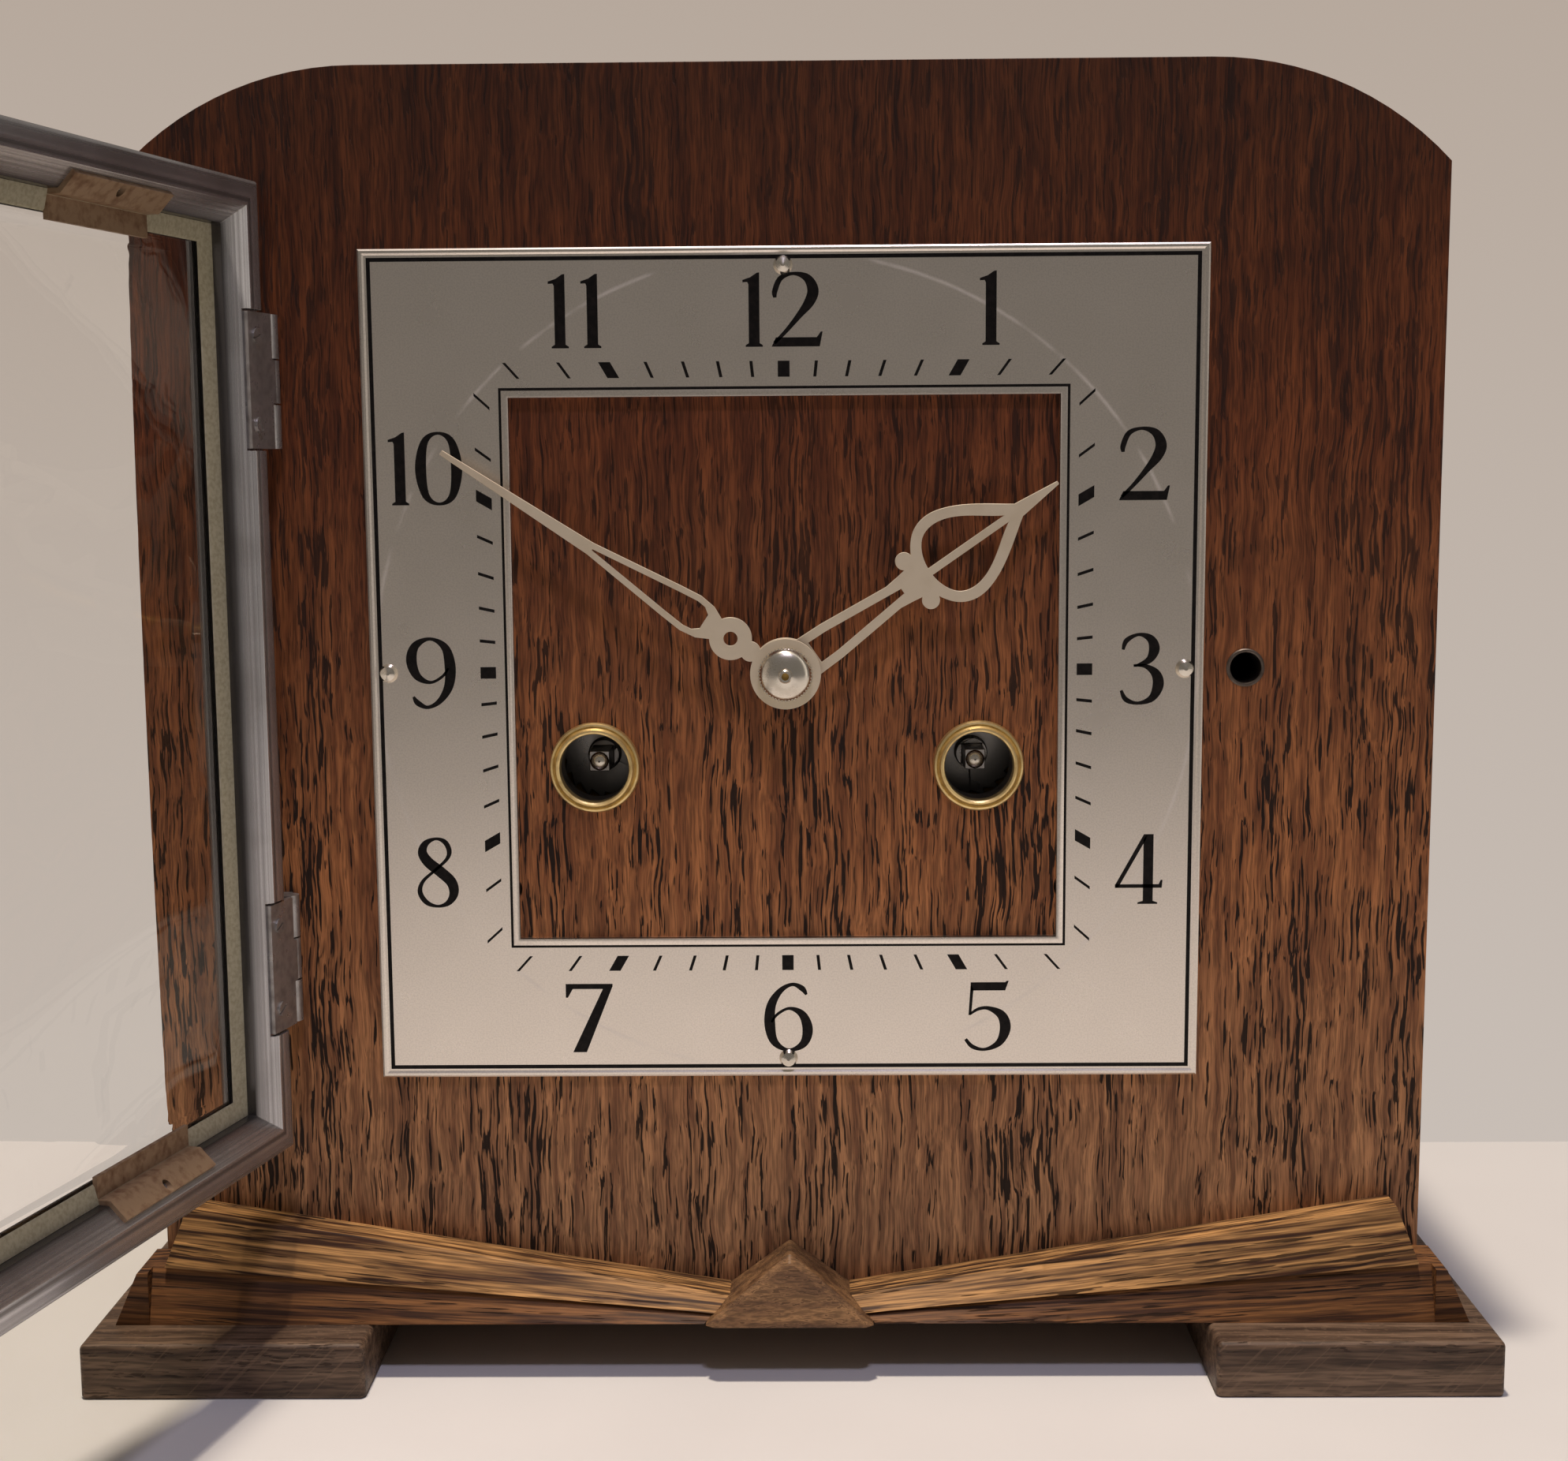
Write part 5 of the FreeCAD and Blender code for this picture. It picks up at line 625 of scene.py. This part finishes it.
SERIF_STEM = [(-0.118, 0), (0.118, 0), (0.118, 0.022), (0.074, 0.05), (0.074, 1.0), (0.04, 0.995),
              (-0.05, 0.935), (-0.155, 0.9), (-0.155, 0.868), (-0.09, 0.872), (-0.074, 0.84),
              (-0.074, 0.05), (-0.118, 0.022)]
FIGURES = {
    "0": {"rings": [[(0.335, 0.985, 0.04), (0.15, 0.87, 0.1), (0.085, 0.5, 0.155), (0.15, 0.13, 0.1),
                     (0.335, 0.015, 0.04), (0.52, 0.13, 0.1), (0.585, 0.5, 0.155), (0.52, 0.87, 0.1)]]},
    "1": {"plates": [SERIF_STEM]},
    "2": {"strokes": [[(0.05, 0.66, 0.045), (0.05, 0.75, 0.075), (0.13, 0.92, 0.07), (0.31, 0.98, 0.045),
                       (0.49, 0.92, 0.11), (0.57, 0.76, 0.155), (0.52, 0.6, 0.14), (0.38, 0.42, 0.085),
                       (0.2, 0.21, 0.055), (0.04, 0.05, 0.045)]],
          "plates": [[(0, 0), (0.66, 0), (0.7, 0.2), (0.675, 0.2), (0.62, 0.125), (0.06, 0.125)]]},
    "3": {"strokes": [[(0.05, 0.77, 0.04), (0.1, 0.9, 0.07), (0.27, 0.98, 0.045), (0.43, 0.92, 0.11),
                       (0.485, 0.78, 0.15), (0.42, 0.63, 0.1), (0.27, 0.555, 0.045), (0.2, 0.545, 0.03)],
                      [(0.2, 0.55, 0.03), (0.37, 0.535, 0.06), (0.51, 0.43, 0.13), (0.545, 0.27, 0.155),
                       (0.46, 0.09, 0.1), (0.27, 0.02, 0.045), (0.1, 0.07, 0.07), (0.03, 0.2, 0.04)]]},
    "4": {"plates": [[(0.455, 1.0), (0.4, 1.0), (0.0, 0.27), (0.0, 0.235), (0.04, 0.235), (0.07, 0.28),
                      (0.43, 0.93)],
                     [(0.0, 0.232), (0.66, 0.232), (0.67, 0.345), (0.645, 0.345), (0.615, 0.283),
                      (0.0, 0.283)],
                     [(0.32, 0), (0.6, 0), (0.6, 0.022), (0.535, 0.045), (0.535, 1.0), (0.455, 1.0),
                      (0.395, 0.93), (0.395, 0.045), (0.32, 0.022)]]},
    "5": {"strokes": [[(0.075, 0.53, 0.03), (0.2, 0.61, 0.045), (0.35, 0.62, 0.06), (0.53, 0.52, 0.13),
                       (0.585, 0.33, 0.155), (0.5, 0.12, 0.1), (0.3, 0.02, 0.045), (0.12, 0.06, 0.06),
                       (0.02, 0.17, 0.045)]],
          "plates": [[(0.09, 1.0), (0.09, 0.88), (0.58, 0.88), (0.63, 1.02), (0.605, 1.02), (0.58, 1.0)],
                     [(0.06, 0.52), (0.1, 0.53), (0.13, 0.9), (0.09, 0.98)]]},
    "6": {"strokes": [[(0.61, 0.83, 0.035), (0.55, 0.92, 0.08), (0.41, 0.98, 0.05), (0.24, 0.89, 0.08),
                       (0.11, 0.68, 0.13), (0.085, 0.4, 0.155), (0.15, 0.14, 0.11), (0.35, 0.02, 0.045),
                       (0.56, 0.11, 0.11), (0.625, 0.32, 0.15), (0.55, 0.54, 0.11), (0.37, 0.63, 0.045),
                       (0.2, 0.55, 0.04), (0.11, 0.43, 0.03)]]},
    "7": {"plates": [[(0, 1.0), (0, 0.8), (0.03, 0.8), (0.1, 0.925), (0.53, 0.925), (0.67, 0.96),
                      (0.67, 1.0)],
                     [(0.67, 0.965), (0.53, 0.925), (0.09, 0.0), (0.285, 0.0)]]},
    "8": {"rings": [[(0.29, 0.985, 0.04), (0.15, 0.92, 0.09), (0.1, 0.79, 0.13), (0.18, 0.65, 0.15),
                     (0.35, 0.51, 0.155), (0.5, 0.36, 0.15), (0.53, 0.2, 0.13), (0.45, 0.065, 0.08),
                     (0.3, 0.015, 0.04), (0.14, 0.07, 0.07), (0.05, 0.22, 0.07), (0.1, 0.38, 0.05),
                     (0.28, 0.54, 0.04), (0.44, 0.69, 0.05), (0.48, 0.81, 0.07), (0.42, 0.94, 0.07)]]},
}
FIGURE_WIDTHS = {
    "0": 0.67, "1": 0.24, "2": 0.7, "3": 0.63, "4": 0.67, "5": 0.66, "6": 0.7, "7": 0.67, "8": 0.6}
# The digits of the double figures, each with its left edge from the figure's middle
PAIRS = {
    10: (("1", -0.357), ("0", -0.153)),
    11: (("1", -0.223), ("1", 0.223)),
    12: (("1", -0.4), ("2", -0.163)),
}


def draw_digit(shell, digit, left, low, size, levels, upside_down=False):
    """One digit with its lower left corner at a place on the dial, in millimetres."""
    wide = FIGURE_WIDTHS[digit]

    def at(x, z):
        if upside_down:
            x, z = wide - x, 1.0 - z
        return left + x * size, low + z * size

    shape = FIGURES[digit]
    for corners in shape.get("plates", []):
        plate(shell, [at(*corner) for corner in corners], *levels)
    for kind, ring in (("strokes", False), ("rings", True)):
        for points in shape.get(kind, []):
            stroke(shell, [(*at(x, z), width * size) for x, z, width in points], *levels, closed=ring)


class CLOCK_OT_finishes(bpy.types.Operator):
    """Make every finish of the clock"""

    bl_idname = "clock.finishes"
    bl_label = "Finishes"

    def execute(self, context):
        colours = context.scene.clock_colours
        make_woods(colours)
        make_metals(colours)
        make_coats(colours)
        return {"FINISHED"}


class CLOCK_OT_stage(bpy.types.Operator):
    """Set the floor, the light and the camera"""

    bl_idname = "clock.stage"
    bl_label = "Stage"

    def execute(self, context):
        scene = context.scene
        colours = scene.clock_colours
        scene.view_settings.view_transform = "Standard"
        self.make_floor(colours)
        self.make_world(scene, colours)
        self.make_lights(scene)
        self.make_camera(scene)
        return {"FINISHED"}

    def make_floor(self, colours):
        """A pale table top that ends at the wall just behind the clock."""
        tree, shader, place = start_material("pale_table")
        uneven = streaks(tree, place, 60.0, 60.0)
        tones = ((0.3, linear("e2e2e2")), (0.7, colours.floor))
        tone = add(tree, "ShaderNodeValToRGB", (uneven,), tones)
        fill(tree, shader, {"Base Color": tone, "Roughness": 0.5})
        near, far, half = -600 * MM, 71 * MM, 700 * MM
        corners = ((-half, near, 0), (half, near, 0), (half, far, 0), (-half, far, 0))
        shell = bmesh.new()
        shell.faces.new([shell.verts.new(corner) for corner in corners])
        new_piece("floor", shell, "pale_table")

    def make_world(self, scene, colours):
        """The pale wall that the camera sees, darker towards the top as painted shade, and a dim room with
        a tall bright window in mirror images.
        """
        wall_foot, wall_head = -0.33, 0.22
        window_plane, window_inner, window_outer = (0.5, 0.866, 0), 0.07, 0.17
        window_light, mirror_light, room_light = 0.9, 0.06, 0.11
        world = bpy.data.worlds.new("studio")
        world.use_nodes = True
        scene.world = world
        tree = world.node_tree
        seen = add(tree, "ShaderNodeLightPath", out=None)
        shown = (seen["Is Camera Ray"], seen["Is Transmission Ray"])
        looked = add(tree, "ShaderNodeMath", shown, operation="MAXIMUM")
        view = add(tree, "ShaderNodeTexCoord", out="Generated")
        height = add(tree, "ShaderNodeSeparateXYZ", (view,), out="Z")
        # Painted shade: the wall darkens from its foot to its head
        rise = add(tree, "ShaderNodeMapRange", (height, wall_foot, wall_head))
        tones = {SHARE: rise, UNDER: colours.wall_low, OVER: colours.wall_high}
        wall_with_painted_shade = add(tree, "ShaderNodeMix", tones, **BLEND)
        wall = add(tree, "ShaderNodeBackground", {"Color": wall_with_painted_shade})
        angle = (view, window_plane)
        apart = add(tree, "ShaderNodeVectorMath", angle, out="Value", operation="DOT_PRODUCT")
        near = add(tree, "ShaderNodeMath", (apart,), operation="ABSOLUTE")
        fade = (near, window_outer, window_inner, mirror_light, window_light)
        mirrored = add(tree, "ShaderNodeMapRange", fade)
        level = (seen["Is Glossy Ray"], mirrored, room_light)
        glow = add(tree, "ShaderNodeMath", level, operation="MULTIPLY_ADD")
        room = add(tree, "ShaderNodeBackground", {"Color": linear("fff4e8"), "Strength": glow})
        mixed = add(tree, "ShaderNodeMixShader", (looked, room, wall))
        fill(tree, tree.nodes["World Output"], {"Surface": mixed})

    def make_lights(self, scene):
        """A warm lamp high over the table before the clock, and a weaker cool one farther out."""
        aim = Vector((0, 0, 0.11))
        for name, place, size, power, tone in (
                ("ceiling_lamp", (-0.10, -0.12, 2.20), 0.12, 37.0, "ffeed9"),
                ("window", (0.1, -0.80, 1.40), 0.14, 5.0, "ece4ff")):
            lamp = bpy.data.lights.new(name, "AREA")
            lamp.size = size
            lamp.energy = power
            lamp.color = linear(tone)[:3]
            made = bpy.data.objects.new(name, lamp)
            made.location = place
            made.rotation_euler = (aim - made.location).to_track_quat("-Z", "Y").to_euler()
            scene.collection.objects.link(made)

    def make_camera(self, scene):
        """The photograph's view: a 47.4 mm lens, 0.42 m before the clock and a little above its middle."""
        place = (0.0042, -0.4195, 0.1647)
        ahead = Vector((-0.01235, 0.99197, -0.12589)).normalized()
        up = Vector((0.00578, 0.12596, 0.99202))
        camera = bpy.data.cameras.new("camera")
        camera.lens = 47.4
        camera.sensor_width = 36.0
        camera.sensor_fit = "HORIZONTAL"
        camera.clip_start = 0.01
        made = bpy.data.objects.new("camera", camera)
        right = ahead.cross(up).normalized()
        turned = Matrix((right, right.cross(ahead), -ahead)).transposed()
        made.matrix_world = Matrix.Translation(place) @ turned.to_4x4()
        scene.collection.objects.link(made)
        scene.camera = made


class CLOCK_OT_case(bpy.types.Operator):
    """Dress the case, its feet and mouldings"""

    bl_idname = "clock.case"
    bl_label = "Case"

    def execute(self, context):
        soften("case_front", 0.5, "stained_oak")
        paint("stained_oak", "case_left_side", "case_right_side")
        soften("case_top", 0.4, "stained_oak_lying")
        paint("brown_plywood", "back_panel", "base_board", "back_door")
        for side in ("left", "right"):
            soften(f"foot_{side}", 0.6, "stained_foot_oak")
            for level in ("upper", "lower"):
                strip = f"{level}_strip_{side}"
                soften(strip, 0.7, f"striped_{level}_{side}", segments=3)
        soften("keystone", 0.5, "keystone_oak")
        return {"FINISHED"}


class CLOCK_OT_dial(bpy.types.Operator):
    """Dress the dial: its pressed rims, printed lines, minute track and figures"""

    bl_idname = "clock.dial"
    bl_label = "Dial"

    # Widths of the two printed lines, in millimetres
    border_width, inner_width = 0.7, 0.5

    def execute(self, context):
        sizes = context.scene.clock_sizes
        soften("dial_plate", 0.25, "silvered_dial")
        paint("bright_nickel", "dial_pins")
        self.make_rims(sizes)
        self.make_lines(sizes)
        self.make_track(sizes)
        self.make_figures(sizes)
        return {"FINISHED"}

    def make_rims(self, sizes):
        """A raised rim round the opening and a lower one along the outer edge."""
        high = sizes.rim_height
        opening, edge = 49.0, DIAL_EDGE
        line = sizes.inner_line_reach / MM - self.inner_width
        inner = [(opening, -high), (opening, 0.8 * high), (opening + 0.3, high), (line - 0.35, high),
                 (line, 0.7 * high), (line, -high)]
        outer = [(edge - 1.1, -high), (edge - 1.1, 0.15 * high), (edge - 0.75, 0.6 * high),
                 (edge - 0.3, 0.6 * high), (edge, 0.2 * high), (edge, -high)]
        shell = bmesh.new()
        for profile in (inner, outer):
            square_moulding(shell, profile, dial_point)
        settle(new_piece("dial_rims", facing_out(shell), "silvered_dial"), "case")

    def make_lines(self, sizes):
        """The border line and the line round the opening."""
        low, high = -sizes.print_height, sizes.print_height
        shell = bmesh.new()
        for reach, width in (
                (sizes.border_reach, self.border_width), (sizes.inner_line_reach, self.inner_width)):
            far = reach / MM
            profile = [(far - width, low), (far - width, high), (far, high), (far, low)]
            square_moulding(shell, profile, dial_point)
        settle(new_piece("dial_lines", facing_out(shell), "dial_ink"), "case")

    def make_track(self, sizes):
        """A mark for each minute on a square band, thick at the hours, each pointing to the centre."""
        hour_half, minute_half = 1.05, 0.28
        inner, outer = sizes.track_inner / MM, sizes.track_outer / MM
        shell = bmesh.new()
        for minute in range(60):
            angle = math.radians(6 * minute)
            reach = max(abs(math.sin(angle)), abs(math.cos(angle)))
            upright = abs(math.cos(angle)) == reach
            half = hour_half if minute % 5 == 0 else minute_half
            corners = []
            for far, side in ((inner, -1), (outer, -1), (outer, 1), (inner, 1)):
                x, z = math.sin(angle) / reach * far, math.cos(angle) / reach * far
                corners.append((x + side * half, z) if upright else (x, z + side * half))
            plate(shell, corners, -sizes.print_height, sizes.print_height)
        settle(new_piece("dial_minute_track", facing_out(shell), "dial_ink"), "case")

    def make_figures(self, sizes):
        """The figures on a square, three to a side: one in its middle and one a step to each hand."""
        size, reach, step = sizes.numeral_height / MM, sizes.numeral_reach / MM, sizes.numeral_step / MM
        levels = (-sizes.print_height, sizes.print_height)

        def place(share):
            # An hour's sine and cosine are 0, a half, 0.87 or 1
            side = (share > 0.1) - (share < -0.1)
            return side * (reach if abs(share) > 0.8 else step)

        shell = bmesh.new()
        for hour in range(1, 13):
            turn = math.radians(30 * hour)
            x = place(math.sin(turn))
            low = place(math.cos(turn)) - size / 2
            if hour in PAIRS:
                for digit, left in PAIRS[hour]:
                    draw_digit(shell, digit, x + left * size, low, size, levels)
            else:
                digit = "6" if hour == 9 else str(hour)
                wide = 0.0 if hour == 1 else FIGURE_WIDTHS[digit]
                draw_digit(shell, digit, x - wide / 2 * size, low, size, levels, upside_down=hour == 9)
        settle(new_piece("dial_figures", facing_out(shell), "dial_ink"), "case")


class CLOCK_OT_hands(bpy.types.Operator):
    """Dress the hands and turn their knurled nut"""

    bl_idname = "clock.hands"
    bl_label = "Hands"

    def execute(self, context):
        sizes = context.scene.clock_sizes
        for name in ("minute_hand", "hour_hand"):
            soften(name, 0.12, "champagne_plate")
        low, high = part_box("hand_nut")
        tall = (high.y - low.y) / MM
        middle = front_centre(low, high, high.y)
        edge = (high.x - low.x) / 2 / MM - sizes.knurl_radius / MM
        bore, tip, stem = 0.6, 1.2, 1.25
        dome = [(0.96 * edge * math.cos(t), (0.36 + 0.3 * math.sin(t)) * tall)
                for t in (0.0, 0.25, 0.5, 0.75, 1.0, 1.2)]
        end = [(stem, 0.66 * tall), (tip, 0.96 * tall), (tip - 0.2, tall), (bore + 0.05, tall),
               (bore, 0.9 * tall)]
        shell = bmesh.new()
        lathe(shell, [(bore, 0), (edge, 0), (edge, 0.3 * tall), *dome, *end], middle)
        nut = new_piece("hand_nut_dome", facing_out(shell), "bright_nickel")
        settle(nut, "minute_work", ["hand_nut"])
        inputs = {"Count": sizes.knurls, "Ring": edge * MM, "Ridge": sizes.knurl_radius,
                  "Length": 0.28 * tall * MM, "Centre": middle + Vector((0, -0.16 * tall * MM, 0))}
        knurl = grown("hand_nut_knurl", knurl_tree(), [], inputs, "bright_nickel")
        settle(knurl, "minute_work")
        return {"FINISHED"}


class CLOCK_OT_winding(bpy.types.Operator):
    """Turn the winding hole grommets and dress the squares and the catch's eyelet"""

    bl_idname = "clock.winding"
    bl_label = "Winding holes"

    def execute(self, context):
        self.make_grommets()
        for name in ("going_winding_arbor", "strike_winding_arbor"):
            soften(name, 0.2, "polished_steel", angle=50.0)
            self.make_crown(name)
        self.make_eyelet()
        return {"FINISHED"}

    def make_grommets(self):
        """Each winding hole's flange with a rolled lip, and the tube behind it, dark with painted shade."""
        low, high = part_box("winding_grommets")
        flange, skirt = 8.25, -0.4
        tube, bore = flange - 1.15, flange - 2.05
        depth, proud = (high.y - CASE_FACE) / MM, (CASE_FACE - low.y) / MM
        rim = [(flange, 0), (flange, 0.3 * proud), (flange - 0.25, 0.55 * proud),
               (flange - 0.6, 0.62 * proud), (flange - 0.85, 0.5 * proud)]
        lip = [(flange - 1.0, 0.62 * proud), (flange - 1.3, 0.95 * proud), (flange - 1.6, proud),
               (flange - 1.9, 0.9 * proud), (bore, 0.6 * proud)]
        rings, bores = bmesh.new(), bmesh.new()
        for x in (low.x + flange * MM, high.x - flange * MM):
            middle = Vector((x, CASE_FACE, (low.z + high.z) / 2))
            lathe(rings, [*rim, *lip, (bore, skirt), (tube, skirt), (tube, 0)], middle, steps=96)
            lathe(bores, [(bore, skirt), (bore, -depth), (tube, -depth), (tube, skirt)], middle, steps=96)
        made = new_piece("winding_grommet_rings", facing_out(rings), "lacquered_brass")
        settle(made, "case", ["winding_grommets"])
        settle(new_piece("winding_grommet_bores", facing_out(bores), "eyelet_and_bore_painted_shade"), "case")

    def make_eyelet(self):
        """The catch's rolled eyelet, a hair lower than the closed door's frame."""
        low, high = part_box("catch_eyelet")
        hair = 0.05
        reach, proud = (high.x - low.x) / 2 / MM, (CASE_FACE - low.y) / MM - hair
        depth = (high.y - CASE_FACE) / MM
        tube, bore = reach - 0.3, reach - 0.75
        rolled = [(reach, 0), (reach, 0.4 * proud), (reach - 0.2, 0.9 * proud), (reach - 0.4, proud),
                  (reach - 0.6, 0.8 * proud)]
        shell = bmesh.new()
        walls = [(bore, 0), (bore, -depth), (tube, -depth), (tube, 0)]
        lathe(shell, [*rolled, *walls], front_centre(low, high, CASE_FACE))
        ring = new_piece("catch_eyelet_ring", facing_out(shell), "eyelet_and_bore_painted_shade")
        settle(ring, "case", ["catch_eyelet"])

    def make_crown(self, name):
        """The rounded end that a winding square is turned with."""
        low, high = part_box(name)
        radius, rise, sunk, pole = 1.75, 0.7, -0.2, 0.2
        rounded = [(radius * math.cos(t), rise * math.sin(t)) for t in (0.0, 0.3, 0.6, 0.9, 1.2, 1.45)]
        shell = bmesh.new()
        profile = [(pole, sunk), (radius, sunk), *rounded]
        lathe(shell, profile, front_centre(low, high, low.y), steps=32)
        crown = new_piece(f"{name}_crown", facing_out(shell), "bright_nickel")
        settle(crown, NODES[name]["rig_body"])


class CLOCK_OT_glass_door(bpy.types.Operator):
    """Dress the open glass door: frame, putty, glass, clips, hinges and screws"""

    bl_idname = "clock.glass_door"
    bl_label = "Glass door"

    def execute(self, context):
        soften("bezel_frame", 0.6, "old_chrome", segments=4)
        soften("bezel_glass", 0.2, "convex_glass", flat=0.01)
        soften("glass_clips", 0.25, "rusted_steel")
        paint("polished_steel", "bezel_catch")
        paint("hinge_nickel", "bezel_hinge_case_leaves", "bezel_hinge_door_leaves")
        self.make_putty()
        self.make_screws(context.scene.clock_sizes.screw_radius)
        return {"FINISHED"}

    def make_putty(self):
        """The bead that beds the glass in its rebate, on the door's inside."""

        def on_door(x, z, height):
            return DOOR_FRAME @ Vector((x * MM + DOOR_MIDDLE, height, z * MM))

        bead = ((74.9, -3.99), (75.3, -3.7), (78.15, -3.0), (78.15, -3.99))
        shell = bmesh.new()
        square_moulding(shell, [(reach, height * MM) for reach, height in bead], on_door)
        settle(new_piece("glass_putty", facing_out(shell), "olive_putty"), "bezel_door")

    def make_screws(self, radius):
        """Two screws in each leaf of both hinges."""
        rise, spread = 52.0, 7.6
        # Across and off the door from the hinge's axis, and in from the leaf's edge and off the case
        door_leaf, case_leaf = (7.4, 1.7), (4.0, 1.0)
        heights = [side * rise + step * spread for side in (-1, 1) for step in (-1, 1)]
        tree = screw_tree()
        facing_back = DOOR_FRAME @ Matrix.Rotation(-math.pi / 2, 4, "X")
        places = [DOOR_FRAME @ (Vector((*door_leaf, z)) * MM) for z in heights]
        inputs = {"Radius": radius, "Turn": facing_back.to_euler()}
        settle(grown("door_leaf_screws", tree, places, inputs, "hinge_nickel"), "bezel_door")
        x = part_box("bezel_hinge_case_leaves")[0].x + case_leaf[0] * MM
        y = CASE_FACE - case_leaf[1] * MM
        places = [Vector((x, y, HINGE["pos_m"][2] + z * MM)) for z in heights]
        inputs = {"Radius": radius, "Turn": Euler((math.pi / 2, 0, 0))}
        settle(grown("case_leaf_screws", tree, places, inputs, "hinge_nickel"), "case")


class CLOCK_OT_back(bpy.types.Operator):
    """Dress the back door's hinges, their screws and the turn button"""

    bl_idname = "clock.back"
    bl_label = "Back door"

    def execute(self, context):
        soften("turn_button", 0.4, "lacquered_brass")
        paint("hinge_nickel", "back_hinge_door_leaves", "back_panel_fittings")
        inputs = {"Radius": context.scene.clock_sizes.screw_radius, "Turn": Euler((-math.pi / 2, 0, 0))}
        spread, apart = 45 * MM, 6.5 * MM
        leaf_middle, leaf_thick = 4.5 * MM, 0.8 * MM
        low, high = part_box("back_hinge_door_leaves")
        middle = (low.z + high.z) / 2
        heights = [middle + side * spread + step * apart for side in (-1, 1) for step in (-1, 1)]
        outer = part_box("back_panel_fittings")[1].x
        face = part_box("back_panel")[1].y + leaf_thick
        tree = bpy.data.node_groups["slotted_screws"]
        for name, x, body in (("back_door_screws", low.x + leaf_middle, "rear_door"),
                              ("back_panel_screws", outer - leaf_middle, "case")):
            places = [Vector((x, face, z)) for z in heights]
            settle(grown(name, tree, places, inputs, "polished_steel"), body)
        return {"FINISHED"}


class CLOCK_OT_movement(bpy.types.Operator):
    """Dress the movement: brass plates and wheels, steel levers, bob, hammers and gong"""

    bl_idname = "clock.movement"
    bl_label = "Movement"

    def execute(self, context):
        finishes = {"plate_brass": "rolled_brass", "steel": "polished_steel", "brass": "lacquered_brass"}
        for name, solid in NODES.items():
            now = solid.data.materials[0].name
            if now in finishes and not solid.hide_render:
                paint(finishes[now], name)
        return {"FINISHED"}


class CLOCK_PT_panel(bpy.types.Panel):
    """Lists the clock's pieces, sizes and colours"""

    bl_label = "Mantel clock"
    bl_idname = "CLOCK_PT_panel"
    bl_space_type = "VIEW_3D"
    bl_region_type = "UI"
    bl_category = "Clock"

    def draw(self, context):
        for operator in OPERATORS:
            self.layout.operator(operator.bl_idname)
        for group in (context.scene.clock_sizes, context.scene.clock_colours):
            for name in group.__annotations__:
                self.layout.prop(group, name)


OPERATORS = (
    CLOCK_OT_finishes, CLOCK_OT_stage, CLOCK_OT_case, CLOCK_OT_dial, CLOCK_OT_hands, CLOCK_OT_winding,
    CLOCK_OT_glass_door, CLOCK_OT_back, CLOCK_OT_movement)
CLASSES = (ClockSizes, ClockColours, *OPERATORS, CLOCK_PT_panel)


def register():
    for cls in CLASSES:
        bpy.utils.register_class(cls)
    bpy.types.Scene.clock_sizes = PointerProperty(type=ClockSizes)
    bpy.types.Scene.clock_colours = PointerProperty(type=ClockColours)


def unregister():
    del bpy.types.Scene.clock_colours
    del bpy.types.Scene.clock_sizes
    for cls in reversed(CLASSES):
        bpy.utils.unregister_class(cls)


def main():
    register()
    for operator in OPERATORS:
        group, name = operator.bl_idname.split(".")
        getattr(getattr(bpy.ops, group), name)()


if __name__ == "__main__":
    main()
